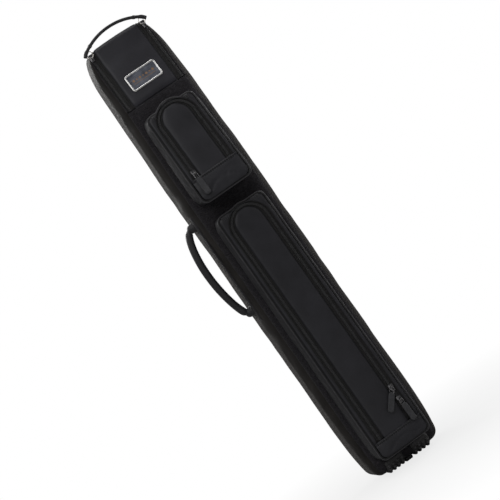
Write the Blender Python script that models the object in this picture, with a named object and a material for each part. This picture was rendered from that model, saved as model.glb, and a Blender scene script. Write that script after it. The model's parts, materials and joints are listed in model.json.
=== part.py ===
"""Soft-sided cue case, standing upright on its rubber feet.

Metres, +Z up. The front, with the two pockets, faces -Y. The origin is on the floor, below the middle of
the body. Every sewn panel, zip half, slider, pull, tube and ring is its own closed solid.
"""

import math

import bmesh
import bpy
from mathutils import Matrix, Vector

# ---------------------------------------------------------------- driving dimensions
HEIGHT = 0.864
HALF_WIDTH = 0.068
HALF_DEPTH = 0.042
WALL = 0.006
GAP = 0.0003

BASE_Z = 0.0065
BASE_ROUND = 0.014
TOP_ROUND = 0.010
CORNER = 0.014
SHOULDER_Z = 0.804
SHOULDER_DROP = 0.016
TOP_SLOPE_BACK = 0.020

SEAM_X = 0.0580
SEAM_Z = 0.7446
SEAM_TOP_X = 0.0548
ZIP_END_Z = 0.847

STRIP_HALF = 0.0442
COIL_X = 0.0531
FLAP_FOLD_Y = -0.0125
FLAP_FOLD_Z = 0.8560
FLAP_BACK_Y = 0.0352

TAPE_FRONT = 0.0028
TAPE_BACK = 0.0038
BEAD_FRONT = 0.0006
BEAD_WIDTH = 0.0020
COIL_SPLIT = 0.0002

DOOR_HALF = 0.0265
CHANNEL_HALF = 0.0395
POCKET_COIL = 0.033
DOOR_RISE = 0.0275
COIL_RISE = 0.0315
CHANNEL_RISE = 0.0340
POCKET_WALL = 0.0022
TAPE_REACH = 0.0100
POCKET_SIDE_X = 0.0455
FOLD_DROP = 0.0007
APEX_REACH = 0.0030

SLIDER_WIDTH = 0.0086
SLIDER_LENGTH = 0.013
CROWN_OUT = 0.0062
PIN_OUT = 0.0040
WIRE = 0.0008
RING = 0.0058
STRAP_RISE = 0.0125
STRAP_LEAN = math.radians(16)
LID_SLIDER_UP = 0.0075

TUBE_TOP_Z = 0.742
TUBE_BOTTOM_Z = 0.0235
TUBE_WALL = 0.0012
BUTT_PITCH, BUTT_Y, BUTT_RADIUS = 0.0375, 0.0148, 0.018
SHAFT_PITCH, SHAFT_Y, SHAFT_RADIUS = 0.0228, -0.0188, 0.0105
COLLAR_LOW_Z, COLLAR_HIGH_Z = 0.724, 0.738

LINK_HALF = 0.0036
LINK_DROP = 0.0105
GRIP_HALF = 0.00525
GRIP_TOP = -0.0075
GRIP_BOTTOM = -0.0415
GRIP_CLIP = 0.0022
GRIP_THICK = 0.0018

FABRIC = ("black_fabric", (0.012, 0.011, 0.012), 0.9, 0.0)
SIDE_FABRIC = ("side_softshell", (0.014, 0.012, 0.011), 0.8, 0.0)
LEATHER = ("black_leather", (0.028, 0.028, 0.032), 0.5, 0.0)
TAPE = ("zip_tape", (0.010, 0.009, 0.009), 0.9, 0.0)
GUNMETAL = ("gunmetal", (0.05, 0.05, 0.055), 0.3, 1.0)
NICKEL = ("nickel", (0.75, 0.72, 0.68), 0.2, 1.0)
RUBBER = ("rubber", (0.030, 0.030, 0.032), 0.7, 0.0)
TUBE_PLASTIC = ("tube_plastic", (0.03, 0.03, 0.03), 0.5, 0.0)
FOAM = ("foam", (0.02, 0.02, 0.022), 0.95, 0.0)

parts = None
helpers = None


# ---------------------------------------------------------------- scene and object helpers
def start_scene():
    global parts, helpers
    for old in list(bpy.data.objects):
        bpy.data.objects.remove(old, do_unlink=True)
    parts = bpy.data.collections.new("cue_case")
    helpers = bpy.data.collections.new("cutters")
    for collection in (parts, helpers):
        bpy.context.scene.collection.children.link(collection)


def material(spec):
    name, colour, roughness, metallic = spec
    found = bpy.data.materials.get(name)
    if found:
        return found
    made = bpy.data.materials.new(name)
    made.use_nodes = True
    shader = made.node_tree.nodes["Principled BSDF"]
    shader.inputs["Base Color"].default_value = (*colour, 1.0)
    shader.inputs["Roughness"].default_value = roughness
    shader.inputs["Metallic"].default_value = metallic
    return made


def add_part(name, mesh, spec, parent=None):
    obj = bpy.data.objects.new(name, mesh)
    obj.data.materials.clear()
    obj.data.materials.append(material(spec))
    obj.parent = parent
    parts.objects.link(obj)
    return obj


def add_cutter(name, mesh, parent=None):
    obj = bpy.data.objects.new(name, mesh)
    obj.hide_render = True
    obj.display_type = "WIRE"
    obj.parent = parent
    helpers.objects.link(obj)
    return obj


def boolean(obj, other, operation):
    cut = obj.modifiers.new(other.name, "BOOLEAN")
    cut.operation = operation
    cut.object = other
    cut.solver = "EXACT"
    return obj


def empty_frame(name, location, tilt=0.0, parent=None):
    """An empty to lay pieces out in, or to stand on a joint's axis."""
    frame = bpy.data.objects.new(name, None)
    frame.location = location
    frame.rotation_euler = (tilt, 0.0, 0.0)
    frame.parent = parent
    parts.objects.link(frame)
    return frame


def hang(name, axis_empty):
    """Parents a piece that is modelled in place to the empty on its joint's axis, without moving it."""
    piece = parts.objects[name]
    piece.parent = axis_empty
    piece.matrix_parent_inverse = axis_empty.matrix_basis.inverted()


# ---------------------------------------------------------------- shape helpers
def loft(name, rings):
    """A closed mesh through rings that have the same number of points, with flat ends."""
    shape = bmesh.new()
    rows = [[shape.verts.new(point) for point in ring] for ring in rings]
    count = len(rows[0])
    for low, high in zip(rows, rows[1:]):
        for i in range(count):
            j = (i + 1) % count
            shape.faces.new((low[i], low[j], high[j], high[i]))
    shape.faces.new(list(reversed(rows[0])))
    shape.faces.new(rows[-1])
    bmesh.ops.recalc_face_normals(shape, faces=shape.faces)
    mesh = bpy.data.meshes.new(name)
    shape.to_mesh(mesh)
    shape.free()
    return mesh


def plate(name, outline, y_front, y_back):
    """A flat outline of (x, z) points, given thickness along Y."""
    return loft(name, [[(x, y, z) for x, z in outline] for y in (y_front, y_back)])


def box(name, low, high):
    shape = bmesh.new()
    bmesh.ops.create_cube(shape, size=1.0)
    size = Vector(high) - Vector(low)
    centre = (Vector(high) + Vector(low)) / 2
    bmesh.ops.transform(
        shape,
        matrix=Matrix.Translation(centre) @ Matrix.Diagonal((*size, 1.0)),
        verts=shape.verts,
    )
    mesh = bpy.data.meshes.new(name)
    shape.to_mesh(mesh)
    shape.free()
    return mesh


def wire(name, points, radius, closed=False, sides=2):
    """A round bar along a row of points, as a mesh whose caps are welded."""
    curve = bpy.data.curves.new(name, "CURVE")
    curve.dimensions = "3D"
    curve.bevel_depth = radius
    curve.bevel_resolution = sides
    curve.use_fill_caps = not closed
    spline = curve.splines.new("POLY")
    spline.points.add(len(points) - 1)
    for target, point in zip(spline.points, points):
        target.co = (*point, 1.0)
    spline.use_cyclic_u = closed
    guide = bpy.data.objects.new(name + "_guide", curve)
    helpers.objects.link(guide)
    bpy.context.view_layer.update()
    graph = bpy.context.evaluated_depsgraph_get()
    mesh = bpy.data.meshes.new_from_object(guide.evaluated_get(graph))
    bpy.data.objects.remove(guide, do_unlink=True)
    shape = bmesh.new()
    shape.from_mesh(mesh)
    bmesh.ops.remove_doubles(shape, verts=shape.verts, dist=1e-6)
    bmesh.ops.recalc_face_normals(shape, faces=shape.faces)
    shape.to_mesh(mesh)
    shape.free()
    mesh.name = name
    mesh.materials.clear()
    return mesh


def joined(name, base, *others):
    """The Boolean union of overlapping meshes, evaluated into one mesh."""
    main = add_cutter(name + "_base", base)
    extras = [add_cutter(f"{name}_extra_{i}", mesh) for i, mesh in enumerate(others)]
    for extra in extras:
        boolean(main, extra, "UNION")
    return evaluated(name, main, extras)


def carved(name, base, *others):
    """A mesh with other meshes cut out of it, evaluated into one mesh."""
    main = add_cutter(name + "_base", base)
    extras = [add_cutter(f"{name}_cut_{i}", mesh) for i, mesh in enumerate(others)]
    for extra in extras:
        boolean(main, extra, "DIFFERENCE")
    return evaluated(name, main, extras)


def evaluated(name, main, extras):
    bpy.context.view_layer.update()
    graph = bpy.context.evaluated_depsgraph_get()
    mesh = bpy.data.meshes.new_from_object(main.evaluated_get(graph))
    mesh.name = name
    mesh.materials.clear()
    for obj in (main, *extras):
        bpy.data.objects.remove(obj, do_unlink=True)
    return mesh


def smooth(mesh, angle=40):
    mesh.shade_smooth()
    mesh.set_sharp_from_angle(angle=math.radians(angle))
    return mesh


def blend(a, b, t):
    return a + (b - a) * min(1.0, max(0.0, t))


def rounded_rectangle(x0, x1, y0, y1, radius, steps=4):
    """Corner arcs of a rectangle, anticlockwise from the low-x low-y corner."""
    points = []
    corners = ((x0, y0, 1, 1, 180), (x1, y0, -1, 1, 270), (x1, y1, -1, -1, 0), (x0, y1, 1, -1, 90))
    for x, y, sx, sy, start in corners:
        for i in range(steps + 1):
            a = math.radians(start + 90 * i / steps)
            points.append((x + sx * radius + radius * math.cos(a), y + sy * radius + radius * math.sin(a)))
    return points


# ---------------------------------------------------------------- body form
def half_width(z):
    """Half the body's width: full in the middle, drawn in at the base and rounded off at the shoulders."""
    base = HALF_WIDTH - 0.0035 * (1 - blend(0, 1, (z - 0.02) / 0.09)) ** 2
    upper = blend(0.0, 0.004, (z - 0.60) / (SHOULDER_Z - 0.60))
    t = min(0.992, max(0.0, (z - SHOULDER_Z) / (HEIGHT - SHOULDER_Z)))
    return base - upper - SHOULDER_DROP * (1 - math.sqrt(1 - t * t))


def front_y(z):
    """The front wall stands upright to the flap seam and leans back above it."""
    return -HALF_DEPTH + TOP_SLOPE_BACK * max(0.0, (z - SEAM_Z) / (HEIGHT - SEAM_Z))


def body_ring(z, inset_x, inset_y):
    radius = max(0.004, CORNER - max(inset_x, inset_y) * 0.6)
    half = half_width(z) - inset_x
    outline = rounded_rectangle(-half, half, front_y(z) + inset_y, HALF_DEPTH - inset_y, radius)
    return [(x, y, z) for x, y in outline]


def body_form(name, inset):
    """The body's outer form, or the form of its cavity when inset is the wall thickness."""
    low, high = BASE_Z + inset, HEIGHT - inset
    rings = []
    for angle in (0, 30, 60, 90):
        a = math.radians(angle)
        edge = BASE_ROUND * (1 - math.sin(a))
        rings.append(body_ring(low + BASE_ROUND * (1 - math.cos(a)), inset + edge, inset + edge))
    for z in (0.05, 0.11, 0.60, SEAM_Z, SHOULDER_Z, 0.824, 0.840):
        rings.append(body_ring(z, inset, inset))
    for angle in (90, 60, 30, 0):
        a = math.radians(angle)
        edge = TOP_ROUND * (1 - math.sin(a))
        rings.append(body_ring(high - TOP_ROUND * (1 - math.cos(a)), inset, inset + edge))
    return loft(name, rings)


def xz_prism(name, outline, y0=-0.2, y1=0.2):
    return add_cutter(name, plate(name, outline, y0, y1))


def mirrored(half_outline):
    """A closed outline, symmetric in x, from its right half listed upwards."""
    return half_outline + [(-x, z) for x, z in reversed(half_outline)]


def side_edge(offset):
    """The line where side panels meet front and back: (x, z) points listed upwards."""
    return [
        (SEAM_X - offset, SEAM_Z),
        (SEAM_TOP_X - offset, ZIP_END_Z - offset),
        (STRIP_HALF + 0.001 - offset, ZIP_END_Z + 0.0002 - offset),
        (STRIP_HALF + 0.001 - offset, HEIGHT + 0.05),
    ]


def make_body():
    outer = body_form("body_form", 0.0)
    cavity = add_cutter("body_cavity", body_form("body_cavity", WALL))

    def panel(name, spec, *regions):
        obj = add_part(name, outer.copy(), spec)
        boolean(obj, cavity, "DIFFERENCE")
        for operation, region in regions:
            boolean(obj, region, operation)

    middle = mirrored([(SEAM_X - GAP, 0.03), *side_edge(GAP)])
    middle_region = xz_prism("middle_region", middle)
    skin_y = HALF_DEPTH - WALL - 0.0005
    front_outline = mirrored([(SEAM_X - GAP, 0.03), (SEAM_X - GAP, SEAM_Z - GAP)])
    front_zone = xz_prism("front_zone", front_outline, -0.2, -skin_y)
    front_half = add_cutter("front_half", box("front_half", (-0.2, -0.2, -0.1), (0.2, skin_y, 0.9)))
    base_zone = xz_prism("base_zone", mirrored([(SEAM_X - GAP, -0.01), (SEAM_X - GAP, 0.03 - GAP)]))
    fold_y = FLAP_FOLD_Y - GAP / 2
    flap_box = box("flap_zone", (-STRIP_HALF, -0.2, SEAM_Z), (STRIP_HALF, fold_y, 0.9))
    flap_zone = add_cutter("flap_zone", flap_box)
    top_low = (-STRIP_HALF, FLAP_FOLD_Y + GAP / 2, SEAM_Z)
    top_zone = add_cutter("top_zone", box("top_zone", top_low, (STRIP_HALF, FLAP_BACK_Y, 0.9)))
    panel("front_panel", FABRIC, ("INTERSECT", front_zone))
    panel("back_panel", FABRIC, ("INTERSECT", middle_region), ("DIFFERENCE", front_half))
    panel("base_cap", FABRIC, ("INTERSECT", base_zone))
    panel("flap_panel", LEATHER, ("INTERSECT", flap_zone))
    panel("flap_top", LEATHER, ("INTERSECT", top_zone))
    for side, sign in (("left", -1), ("right", 1)):
        outline = [(sign * x, z) for x, z in [(SEAM_X, -0.05), *side_edge(0.0)]]
        outline += [(sign * 0.3, HEIGHT + 0.05), (sign * 0.3, -0.05)]
        region = xz_prism(side + "_region", outline)
        panel(side + "_gusset", SIDE_FABRIC, ("INTERSECT", region))


# ---------------------------------------------------------------- inside
def tube_layout():
    """Name, x, y and outer radius of each cue tube: three butts at the back, five shafts in front."""
    for i in range(3):
        yield f"butt_tube_{i + 1}", (i - 1) * BUTT_PITCH, BUTT_Y, BUTT_RADIUS
    for i in range(5):
        yield f"shaft_tube_{i + 1}", (i - 2) * SHAFT_PITCH, SHAFT_Y, SHAFT_RADIUS


def cylinder(name, x, y, z0, z1, radius, sides=16):
    shape = bmesh.new()
    bmesh.ops.create_cone(
        shape, cap_ends=True, segments=sides, radius1=radius, radius2=radius, depth=z1 - z0
    )
    bmesh.ops.translate(shape, verts=shape.verts, vec=(x, y, (z0 + z1) / 2))
    mesh = bpy.data.meshes.new(name)
    shape.to_mesh(mesh)
    shape.free()
    return mesh


def make_inside():
    for name, x, y, radius in tube_layout():
        bar = cylinder(name, x, y, TUBE_BOTTOM_Z, TUBE_TOP_Z, radius)
        bore = cylinder(name + "_bore", x, y, 0.0, 1.0, radius - TUBE_WALL)
        add_part(name, smooth(carved(name, bar, bore)), TUBE_PLASTIC)
    holes = [cylinder(f"{name}_hole", x, y, 0.5, 1.0, radius + GAP) for name, x, y, radius in tube_layout()]
    corners = rounded_rectangle(-0.0588, 0.0588, -0.0332, 0.0346, 0.011)
    collar = loft("tube_collar", [[(x, y, z) for x, y in corners] for z in (COLLAR_LOW_Z, COLLAR_HIGH_Z)])
    add_part("tube_collar", carved("tube_collar", collar, *holes), FOAM)
    add_part("tube_base_pad", box("tube_base_pad", (-0.047, -0.025, 0.0140), (0.047, 0.025, 0.0232)), FOAM)


# ---------------------------------------------------------------- zips
def coil_path(half, rise, low, spring, steps=12):
    """Up the left leg, over the arch and down the right leg: ((x, z), outward normal) pairs."""
    path = [((-half, low), (-1.0, 0.0))]
    for i in range(steps + 1):
        a = math.pi - math.pi * i / steps
        normal = Vector((math.cos(a) / half, math.sin(a) / rise)).normalized()
        path.append(((half * math.cos(a), spring + rise * math.sin(a)), tuple(normal)))
    path.append(((half, low), (1.0, 0.0)))
    return path


def zip_section(side, reach=TAPE_REACH):
    """Tape with a coil bead on its inner edge, as (offset from the coil line, depth) points."""
    return [
        (side * COIL_SPLIT, BEAD_FRONT),
        (side * BEAD_WIDTH, BEAD_FRONT),
        (side * BEAD_WIDTH, TAPE_FRONT),
        (side * reach, TAPE_FRONT),
        (side * reach, TAPE_BACK),
        (side * COIL_SPLIT, TAPE_BACK),
    ]


def swept_zip(name, path, side):
    """A zip half along its coil line; the tape outside the coil narrows towards the top of the arch."""
    rings = []
    for (x, z), (nx, nz) in path:
        reach = blend(TAPE_REACH, APEX_REACH, nz) if side > 0 else TAPE_REACH
        section = zip_section(side, reach)
        rings.append([(x + nx * offset, depth, z + nz * offset) for offset, depth in section])
    return loft(name, rings)


def arch_outline(half, rise, low, spring, steps=12):
    return [point for point, _ in coil_path(half, rise, low, spring, steps)]


def slider_mesh(name):
    """A slider seen along its zip: a waisted plate with a crown bar over it. Its middle is the origin."""
    w, h = SLIDER_WIDTH / 2, SLIDER_LENGTH / 2
    outline = [
        (-w * 0.62, -h), (w * 0.62, -h), (w * 0.8, -h * 0.3), (w, h * 0.45), (w * 0.85, h),
        (-w * 0.85, h), (-w, h * 0.45), (-w * 0.8, -h * 0.3),
    ]
    body = plate(name, outline, -0.0026, 0.0002)
    crown = [(0, -0.002, -0.0027), (0, -0.0050, -0.0025), (0, -CROWN_OUT, -0.0014)]
    crown += [(0, y, -z) for _, y, z in reversed(crown)]
    return joined(name, body, wire(name + "_crown", crown, 0.0009))


def pull_link(name):
    """A flat wire loop whose top bar lies at the origin, along X, inside the slider's crown."""
    w, drop, r = LINK_HALF, LINK_DROP, 0.0009
    points = [(-w + r, 0, 0), (w - r, 0, 0), (w, 0, -r), (w, 0, -drop + r), (w - r, 0, -drop)]
    points += [(-w + r, 0, -drop), (-w, 0, -drop + r), (-w, 0, -r)]
    return wire(name, points, WIRE, closed=True)


def pull_grip(name):
    """A rubber tab with clipped corners, moulded round the lower bar of its link."""
    w, top, bottom, clip = GRIP_HALF, GRIP_TOP, GRIP_BOTTOM, GRIP_CLIP
    outline = [
        (-w + clip, bottom), (w - clip, bottom), (w, bottom + clip), (w, top - clip * 1.6),
        (w - clip * 1.3, top), (-w + clip * 1.3, top), (-w, top - clip * 1.6), (-w, bottom + clip),
    ]
    base = plate(name, outline, -GRIP_THICK, GRIP_THICK)
    room, open_top = 0.0012, top + 0.002
    wide, narrow = LINK_HALF + room, LINK_HALF - room
    slot = box(name + "_slot", (-wide, -room, -LINK_DROP - room), (wide, room, open_top))
    core = box(name + "_core", (-narrow, -0.003, -LINK_DROP + room), (narrow, 0.003, open_top))
    return carved(name, base, slot, core)


def add_pull(prefix, frame, x, s, twist=0.0):
    """Slider, link and grip on a pocket's front plane, at x and at height s above the band."""
    slider = add_part(prefix + "_slider", slider_mesh(prefix + "_slider"), GUNMETAL, frame)
    slider.location = (x, 0.0, s)
    hanger = bpy.data.objects.new(prefix + "_pin", None)
    parts.objects.link(hanger)
    hanger.parent = frame
    hanger.location = (x, -PIN_OUT, s)
    hanger.rotation_euler = (math.radians(-4), math.radians(twist), 0.0)
    add_part(prefix + "_pull_link", smooth(pull_link(prefix + "_pull_link"), 60), GUNMETAL, hanger)
    add_part(prefix + "_pull_grip", pull_grip(prefix + "_pull_grip"), RUBBER, hanger)


# ---------------------------------------------------------------- pockets
class Pocket:
    """A wedge-shaped box pocket with an arched zip door in its front."""

    def __init__(self, name, z0, z1, depth0, depth1, band, fold, spring):
        self.name = name
        self.z0, self.z1 = z0, z1
        self.depth0, self.depth1 = depth0, depth1
        self.band, self.fold, self.spring = band, fold, spring
        self.tilt = -math.atan((depth0 - depth1) / (z1 - z0))
        band_depth = blend(depth0, depth1, (band - z0) / (z1 - z0))
        self.frame = empty_frame(name + "_face", (0.0, -HALF_DEPTH - band_depth, band), self.tilt)

    def face_y(self, z):
        return -HALF_DEPTH - self.depth0 - (self.depth1 - self.depth0) * (z - self.z0) / (self.z1 - self.z0)

    def form(self, name, inset, back_y):
        """Rings from the pocket's foot on the front panel out to its front plane."""
        rings = []
        for share, edge in ((0.0, 0.0), (0.80, 0.001), (0.94, 0.0025), (1.0, 0.0065)):
            trim = inset + edge
            top = self.z1 - inset - edge * 0.35
            outline = rounded_rectangle(-1.0, 1.0, self.z0 + trim, top, 0.012 - edge)
            ring = []
            for x, z in outline:
                half = blend(0.0545, 0.0500, (z - self.z0) / (self.z1 - self.z0)) - trim
                corner = 1.0 - abs(x)
                x_real = math.copysign(half - corner, x)
                front = self.face_y(z) + inset
                ring.append((x_real, back_y + share * (front - back_y), z))
            rings.append(ring)
        return loft(name, rings)

    def build(self):
        outer = self.form(self.name, 0.0, -HALF_DEPTH - GAP)
        hollow = self.form(self.name + "_cavity", POCKET_WALL, -HALF_DEPTH + 0.004)
        cavity = add_cutter(self.name + "_cavity", hollow)
        door = arch_outline(CHANNEL_HALF, CHANNEL_RISE, self.band - 0.0001, self.spring)
        doorway = xz_prism(self.name + "_doorway", door, -0.2, -HALF_DEPTH - 0.008)
        above = self.band + GAP

        def wall(suffix, region, *cuts):
            obj = add_part(f"{self.name}_{suffix}", outer.copy(), LEATHER)
            boolean(obj, cavity, "DIFFERENCE")
            boolean(obj, region, "INTERSECT")
            for cut in cuts:
                boolean(obj, cut, "DIFFERENCE")

        front = [(POCKET_SIDE_X, above), (POCKET_SIDE_X, 1.0)]
        wall("front", xz_prism(self.name + "_front_region", mirrored(front)), doorway)
        wall("base_band", xz_prism(self.name + "_band_region", mirrored([(0.2, 0.0), (0.2, self.band)])))
        for side, sign in (("left", -1), ("right", 1)):
            inner_x = sign * (POCKET_SIDE_X + GAP)
            outline = [(inner_x, above), (sign * 0.2, above), (sign * 0.2, 1.0), (inner_x, 1.0)]
            wall(f"{side}_wall", xz_prism(f"{self.name}_{side}_region", outline))
        self.build_zip()

    def build_zip(self):
        """Door and zip halves, laid out on the tilted front plane above the band."""
        top = (self.spring - self.band) / math.cos(self.tilt)
        fold = (self.fold - self.band) / math.cos(self.tilt)
        name = self.name
        outer_half = swept_zip(name + "_zip_outer", coil_path(POCKET_COIL, COIL_RISE, 0.0006, top), 1)
        feet = []
        for sign in (-1, 1):
            section = [(sign * POCKET_COIL - sign * o, d) for o, d in zip_section(1)]
            section[0] = (sign * (POCKET_COIL + BEAD_WIDTH / 2), BEAD_FRONT)
            section[-1] = (sign * (POCKET_COIL + BEAD_WIDTH / 2), TAPE_BACK)
            rings = [[(x, d, z) for x, d in section] for z in (0.0006, fold - 0.0030)]
            feet.append(loft(name + "_zip_foot", rings))
        add_part(name + "_zip_outer", joined(name + "_zip_outer", outer_half, *feet), TAPE, self.frame)
        hinge_up = fold - FOLD_DROP
        hinge = empty_frame(name + "_hinge", (0.0, 0.0, hinge_up), parent=self.frame)
        inner_path = coil_path(POCKET_COIL, COIL_RISE, 0.0016 + FOLD_DROP, top - hinge_up)
        add_part(name + "_zip_inner", swept_zip(name + "_zip_inner", inner_path, -1), TAPE, hinge)
        panel = arch_outline(DOOR_HALF, DOOR_RISE, FOLD_DROP, top - hinge_up)
        add_part(name + "_door", plate(name + "_door", panel, 0.0, POCKET_WALL), LEATHER, hinge)
        foot = mirrored([(DOOR_HALF, 0.0006), (DOOR_HALF, fold - 0.0014)])
        add_part(name + "_door_foot", plate(name + "_door_foot", foot, 0.0, POCKET_WALL), LEATHER, self.frame)


def make_pockets():
    upper = Pocket("upper_pocket", 0.545, 0.718, 0.046, 0.024, band=0.588, fold=0.6085, spring=0.6785)
    upper.build()
    add_pull("upper", upper.frame, -POCKET_COIL, 0.0095)
    lower = Pocket("lower_pocket", 0.030, 0.5165, 0.038, 0.026, band=0.0615, fold=0.137, spring=0.477)
    lower.build()
    add_pull("lower_a", lower.frame, POCKET_COIL, 0.0610, twist=40.0)
    add_pull("lower_b", lower.frame, POCKET_COIL, 0.0380)


# ---------------------------------------------------------------- top flap
def flap_frame():
    tilt = -math.atan(TOP_SLOPE_BACK / (HEIGHT - SEAM_Z))
    return empty_frame("flap_face", (0.0, -HALF_DEPTH, SEAM_Z), tilt)


def straight_tape(name, sign, inner_x, plain, bead_out, span):
    """A zip half along the flap's edge; its plain edge may run at a slant between the two x given."""
    rings = []
    for s, plain_x in zip(span, plain):
        bead = inner_x + bead_out
        points = [(inner_x, 0.0014), (bead, 0.0014), (bead, 0.0032)]
        points += [(plain_x, 0.0032), (plain_x, 0.0042), (inner_x, 0.0042)]
        rings.append([(sign * x, depth, s) for x, depth in points])
    return loft(name, rings)


def make_flap():
    frame = flap_frame()
    hang("flap_panel", frame)
    hang("flap_top", empty_frame("flap_fold", (0.0, FLAP_FOLD_Y, FLAP_FOLD_Z)))
    length = (ZIP_END_Z - SEAM_Z) / math.cos(frame.rotation_euler.x)
    for side, sign in (("left", -1), ("right", 1)):
        edge = STRIP_HALF + GAP
        span = (0.0040, length - 0.0045)
        inner = straight_tape(f"flap_zip_{side}", sign, COIL_X - GAP, (edge, edge), -0.0018, span)
        add_part(f"flap_zip_{side}", inner, TAPE, frame)
        slant = (SEAM_X - GAP, SEAM_TOP_X - GAP)
        span = (0.0006, length - 0.0012)
        outer = straight_tape(f"body_zip_{side}", sign, COIL_X + GAP, slant, 0.0012, span)
        add_part(f"body_zip_{side}", outer, TAPE, frame)
        slider = add_part(f"flap_slider_{side}", slider_mesh(f"flap_slider_{side}"), GUNMETAL, frame)
        slider.location = (sign * COIL_X, -0.0002, length + LID_SLIDER_UP)
    make_nameplate(frame)
    make_strap(frame, length + LID_SLIDER_UP)


def make_nameplate(frame):
    centre = 0.0370

    def rim(half_x, half_z, radius):
        return rounded_rectangle(-half_x, half_x, centre - half_z, centre + half_z, radius, 3)

    outer = plate("nameplate_frame", rim(0.030, 0.0155, 0.003), -0.0032, -0.0003)
    opening = plate("nameplate_window", rim(0.0272, 0.0127, 0.0015), -0.01, 0.01)
    add_part("nameplate_frame", carved("nameplate_frame", outer, opening), NICKEL, frame)
    inlay = plate("nameplate_inlay", rim(0.0269, 0.0124, 0.0013), -0.0019, -0.0005)
    add_part("nameplate_inlay", inlay, GUNMETAL, frame)


def make_strap(frame, slider_s):
    """The pull strap: a flat cord over the top whose ends hang on a ring in each slider's crown."""
    pin = bpy.data.objects.new("strap_pin", None)
    parts.objects.link(pin)
    pin.parent = frame
    pin.location = (0.0, -PIN_OUT - 0.0002, slider_s)
    pin.rotation_euler = (STRAP_LEAN, 0.0, 0.0)
    for side, sign in (("left", -1), ("right", 1)):
        turn = [2 * math.pi * i / 20 for i in range(20)]
        circle = [(sign * COIL_X + RING * math.sin(a), 0.0, RING * (1 - math.cos(a))) for a in turn]
        ring = wire(f"strap_ring_{side}", circle, WIRE, closed=True)
        add_part(f"strap_ring_{side}", smooth(ring, 60), NICKEL, pin)
    eye_z = 2 * RING
    eye_radius, eye_wire = 0.0026, 0.0014
    turn = [2 * math.pi * i / 14 for i in range(14)]
    eyes = []
    for sign in (-1, 1):
        eye = [(sign * COIL_X, eye_radius * math.sin(a), eye_z + eye_radius * math.cos(a)) for a in turn]
        eyes.append(wire("strap_eye", eye, eye_wire, closed=True))
    rings = []
    for i in range(17):
        t = -1 + i / 8
        z = eye_z + eye_radius + eye_wire * 0.4 + STRAP_RISE * (1 - t * t)
        slope = Vector((COIL_X, -2 * STRAP_RISE * t)).normalized()
        outline = rounded_rectangle(-0.0032, 0.0032, -0.0022, 0.0022, 0.0018, 2)
        rings.append([(t * COIL_X - slope.y * v, u, z + slope.x * v) for u, v in outline])
    add_part("pull_strap", joined("pull_strap", loft("pull_strap", rings), *eyes), LEATHER, pin)


# ---------------------------------------------------------------- side handle
HANDLE_X = -0.0785
HANDLE_Y = -0.008
HANDLE_TOP_Z = 0.5265
PIN = 0.0018
HANDLE_RADIUS = 0.0063
PATCH_LOW_Z, PATCH_HIGH_Z, PATCH_THICK = 0.333, 0.546, 0.0014
HANDLE_POINTS = [
    (0.0, 0.0), (-0.0008, -0.0060), (-0.0110, -0.0150), (-0.0185, -0.0275), (-0.0212, -0.0430),
    (-0.0220, -0.0620), (-0.0215, -0.0900), (-0.0185, -0.1150), (-0.0120, -0.1380), (-0.0050, -0.1530),
    (-0.0006, -0.1640), (0.0, -0.1700),
]


def catmull_rom(p, q, r, s, t):
    """One coordinate of the curve at t on its way from q (0) to r (1)."""
    return 0.5 * (2 * q + (r - p) * t + (2 * p - 5 * q + 4 * r - s) * t * t + (3 * q - p - 3 * r + s) * t**3)


def smooth_points(points, per_span=2):
    """Points along a smooth curve through the given ones."""
    ends = [points[0], *points, points[-1]]
    out = []
    for corners in zip(ends, ends[1:], ends[2:], ends[3:]):
        for i in range(per_span):
            out.append(tuple(catmull_rom(*values, i / per_span) for values in zip(*corners)))
    return [*out, points[-1]]


def make_handle():
    bottom_z = HANDLE_TOP_Z + HANDLE_POINTS[-1][1]
    path = [(HANDLE_X + x, HANDLE_Y, HANDLE_TOP_Z + z) for x, z in HANDLE_POINTS]
    grip = wire("side_handle", smooth_points(path), HANDLE_RADIUS, sides=3)
    holes = [
        cylinder("pin_hole", HANDLE_X, HANDLE_Y, z - 0.0045, z + 0.0045, PIN + GAP, 12)
        for z in (HANDLE_TOP_Z, bottom_z)
    ]
    add_part("side_handle", smooth(carved("side_handle", grip, *holes)), LEATHER)
    hang("side_handle", empty_frame("handle_axis", (HANDLE_X, HANDLE_Y, (HANDLE_TOP_Z + bottom_z) / 2)))
    face = -HALF_WIDTH - GAP
    y0, y1 = HANDLE_Y - 0.020, HANDLE_Y + 0.020
    outline = rounded_rectangle(y0, y1, PATCH_LOW_Z, PATCH_HIGH_Z, 0.008, 3)
    patch = loft("handle_patch", [[(x, y, z) for y, z in outline] for x in (face, face - PATCH_THICK)])
    add_part("handle_patch", patch, LEATHER)
    for name, z, sign in (("upper", HANDLE_TOP_Z, 1), ("lower", bottom_z, -1)):
        make_handle_tab(name, z, sign, face - PATCH_THICK - GAP)


def make_handle_tab(name, z, sign, back_x):
    """A stitched lug on the patch, with the pin that the handle's end turns on."""
    rings = []
    for share in (0.0, 0.5, 1.0):
        reach = blend(HANDLE_X - 0.0045, back_x - 0.002, share**1.5)
        half = blend(0.0065, 0.0090, share)
        level = z + sign * (0.0010 + 0.011 * share)
        corners = ((back_x, -half), (reach, -half * 0.6), (reach, half * 0.6), (back_x, half))
        rings.append([(x, HANDLE_Y + y, level) for x, y in corners])
    low, high = sorted((z - sign * 0.0038, z + sign * 0.0040))
    pin = cylinder(f"handle_pin_{name}", HANDLE_X, HANDLE_Y, low, high, PIN, 12)
    lug = joined(f"handle_tab_{name}", loft(f"handle_tab_{name}", rings), pin)
    add_part(f"handle_tab_{name}", lug, LEATHER)


# ---------------------------------------------------------------- feet
FOOT_THICK = 0.0032
FOOT_HALF = 0.0185
FOOT_X = 0.0265
STUD = 0.0030
STUD_PITCH = 0.0084


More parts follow.
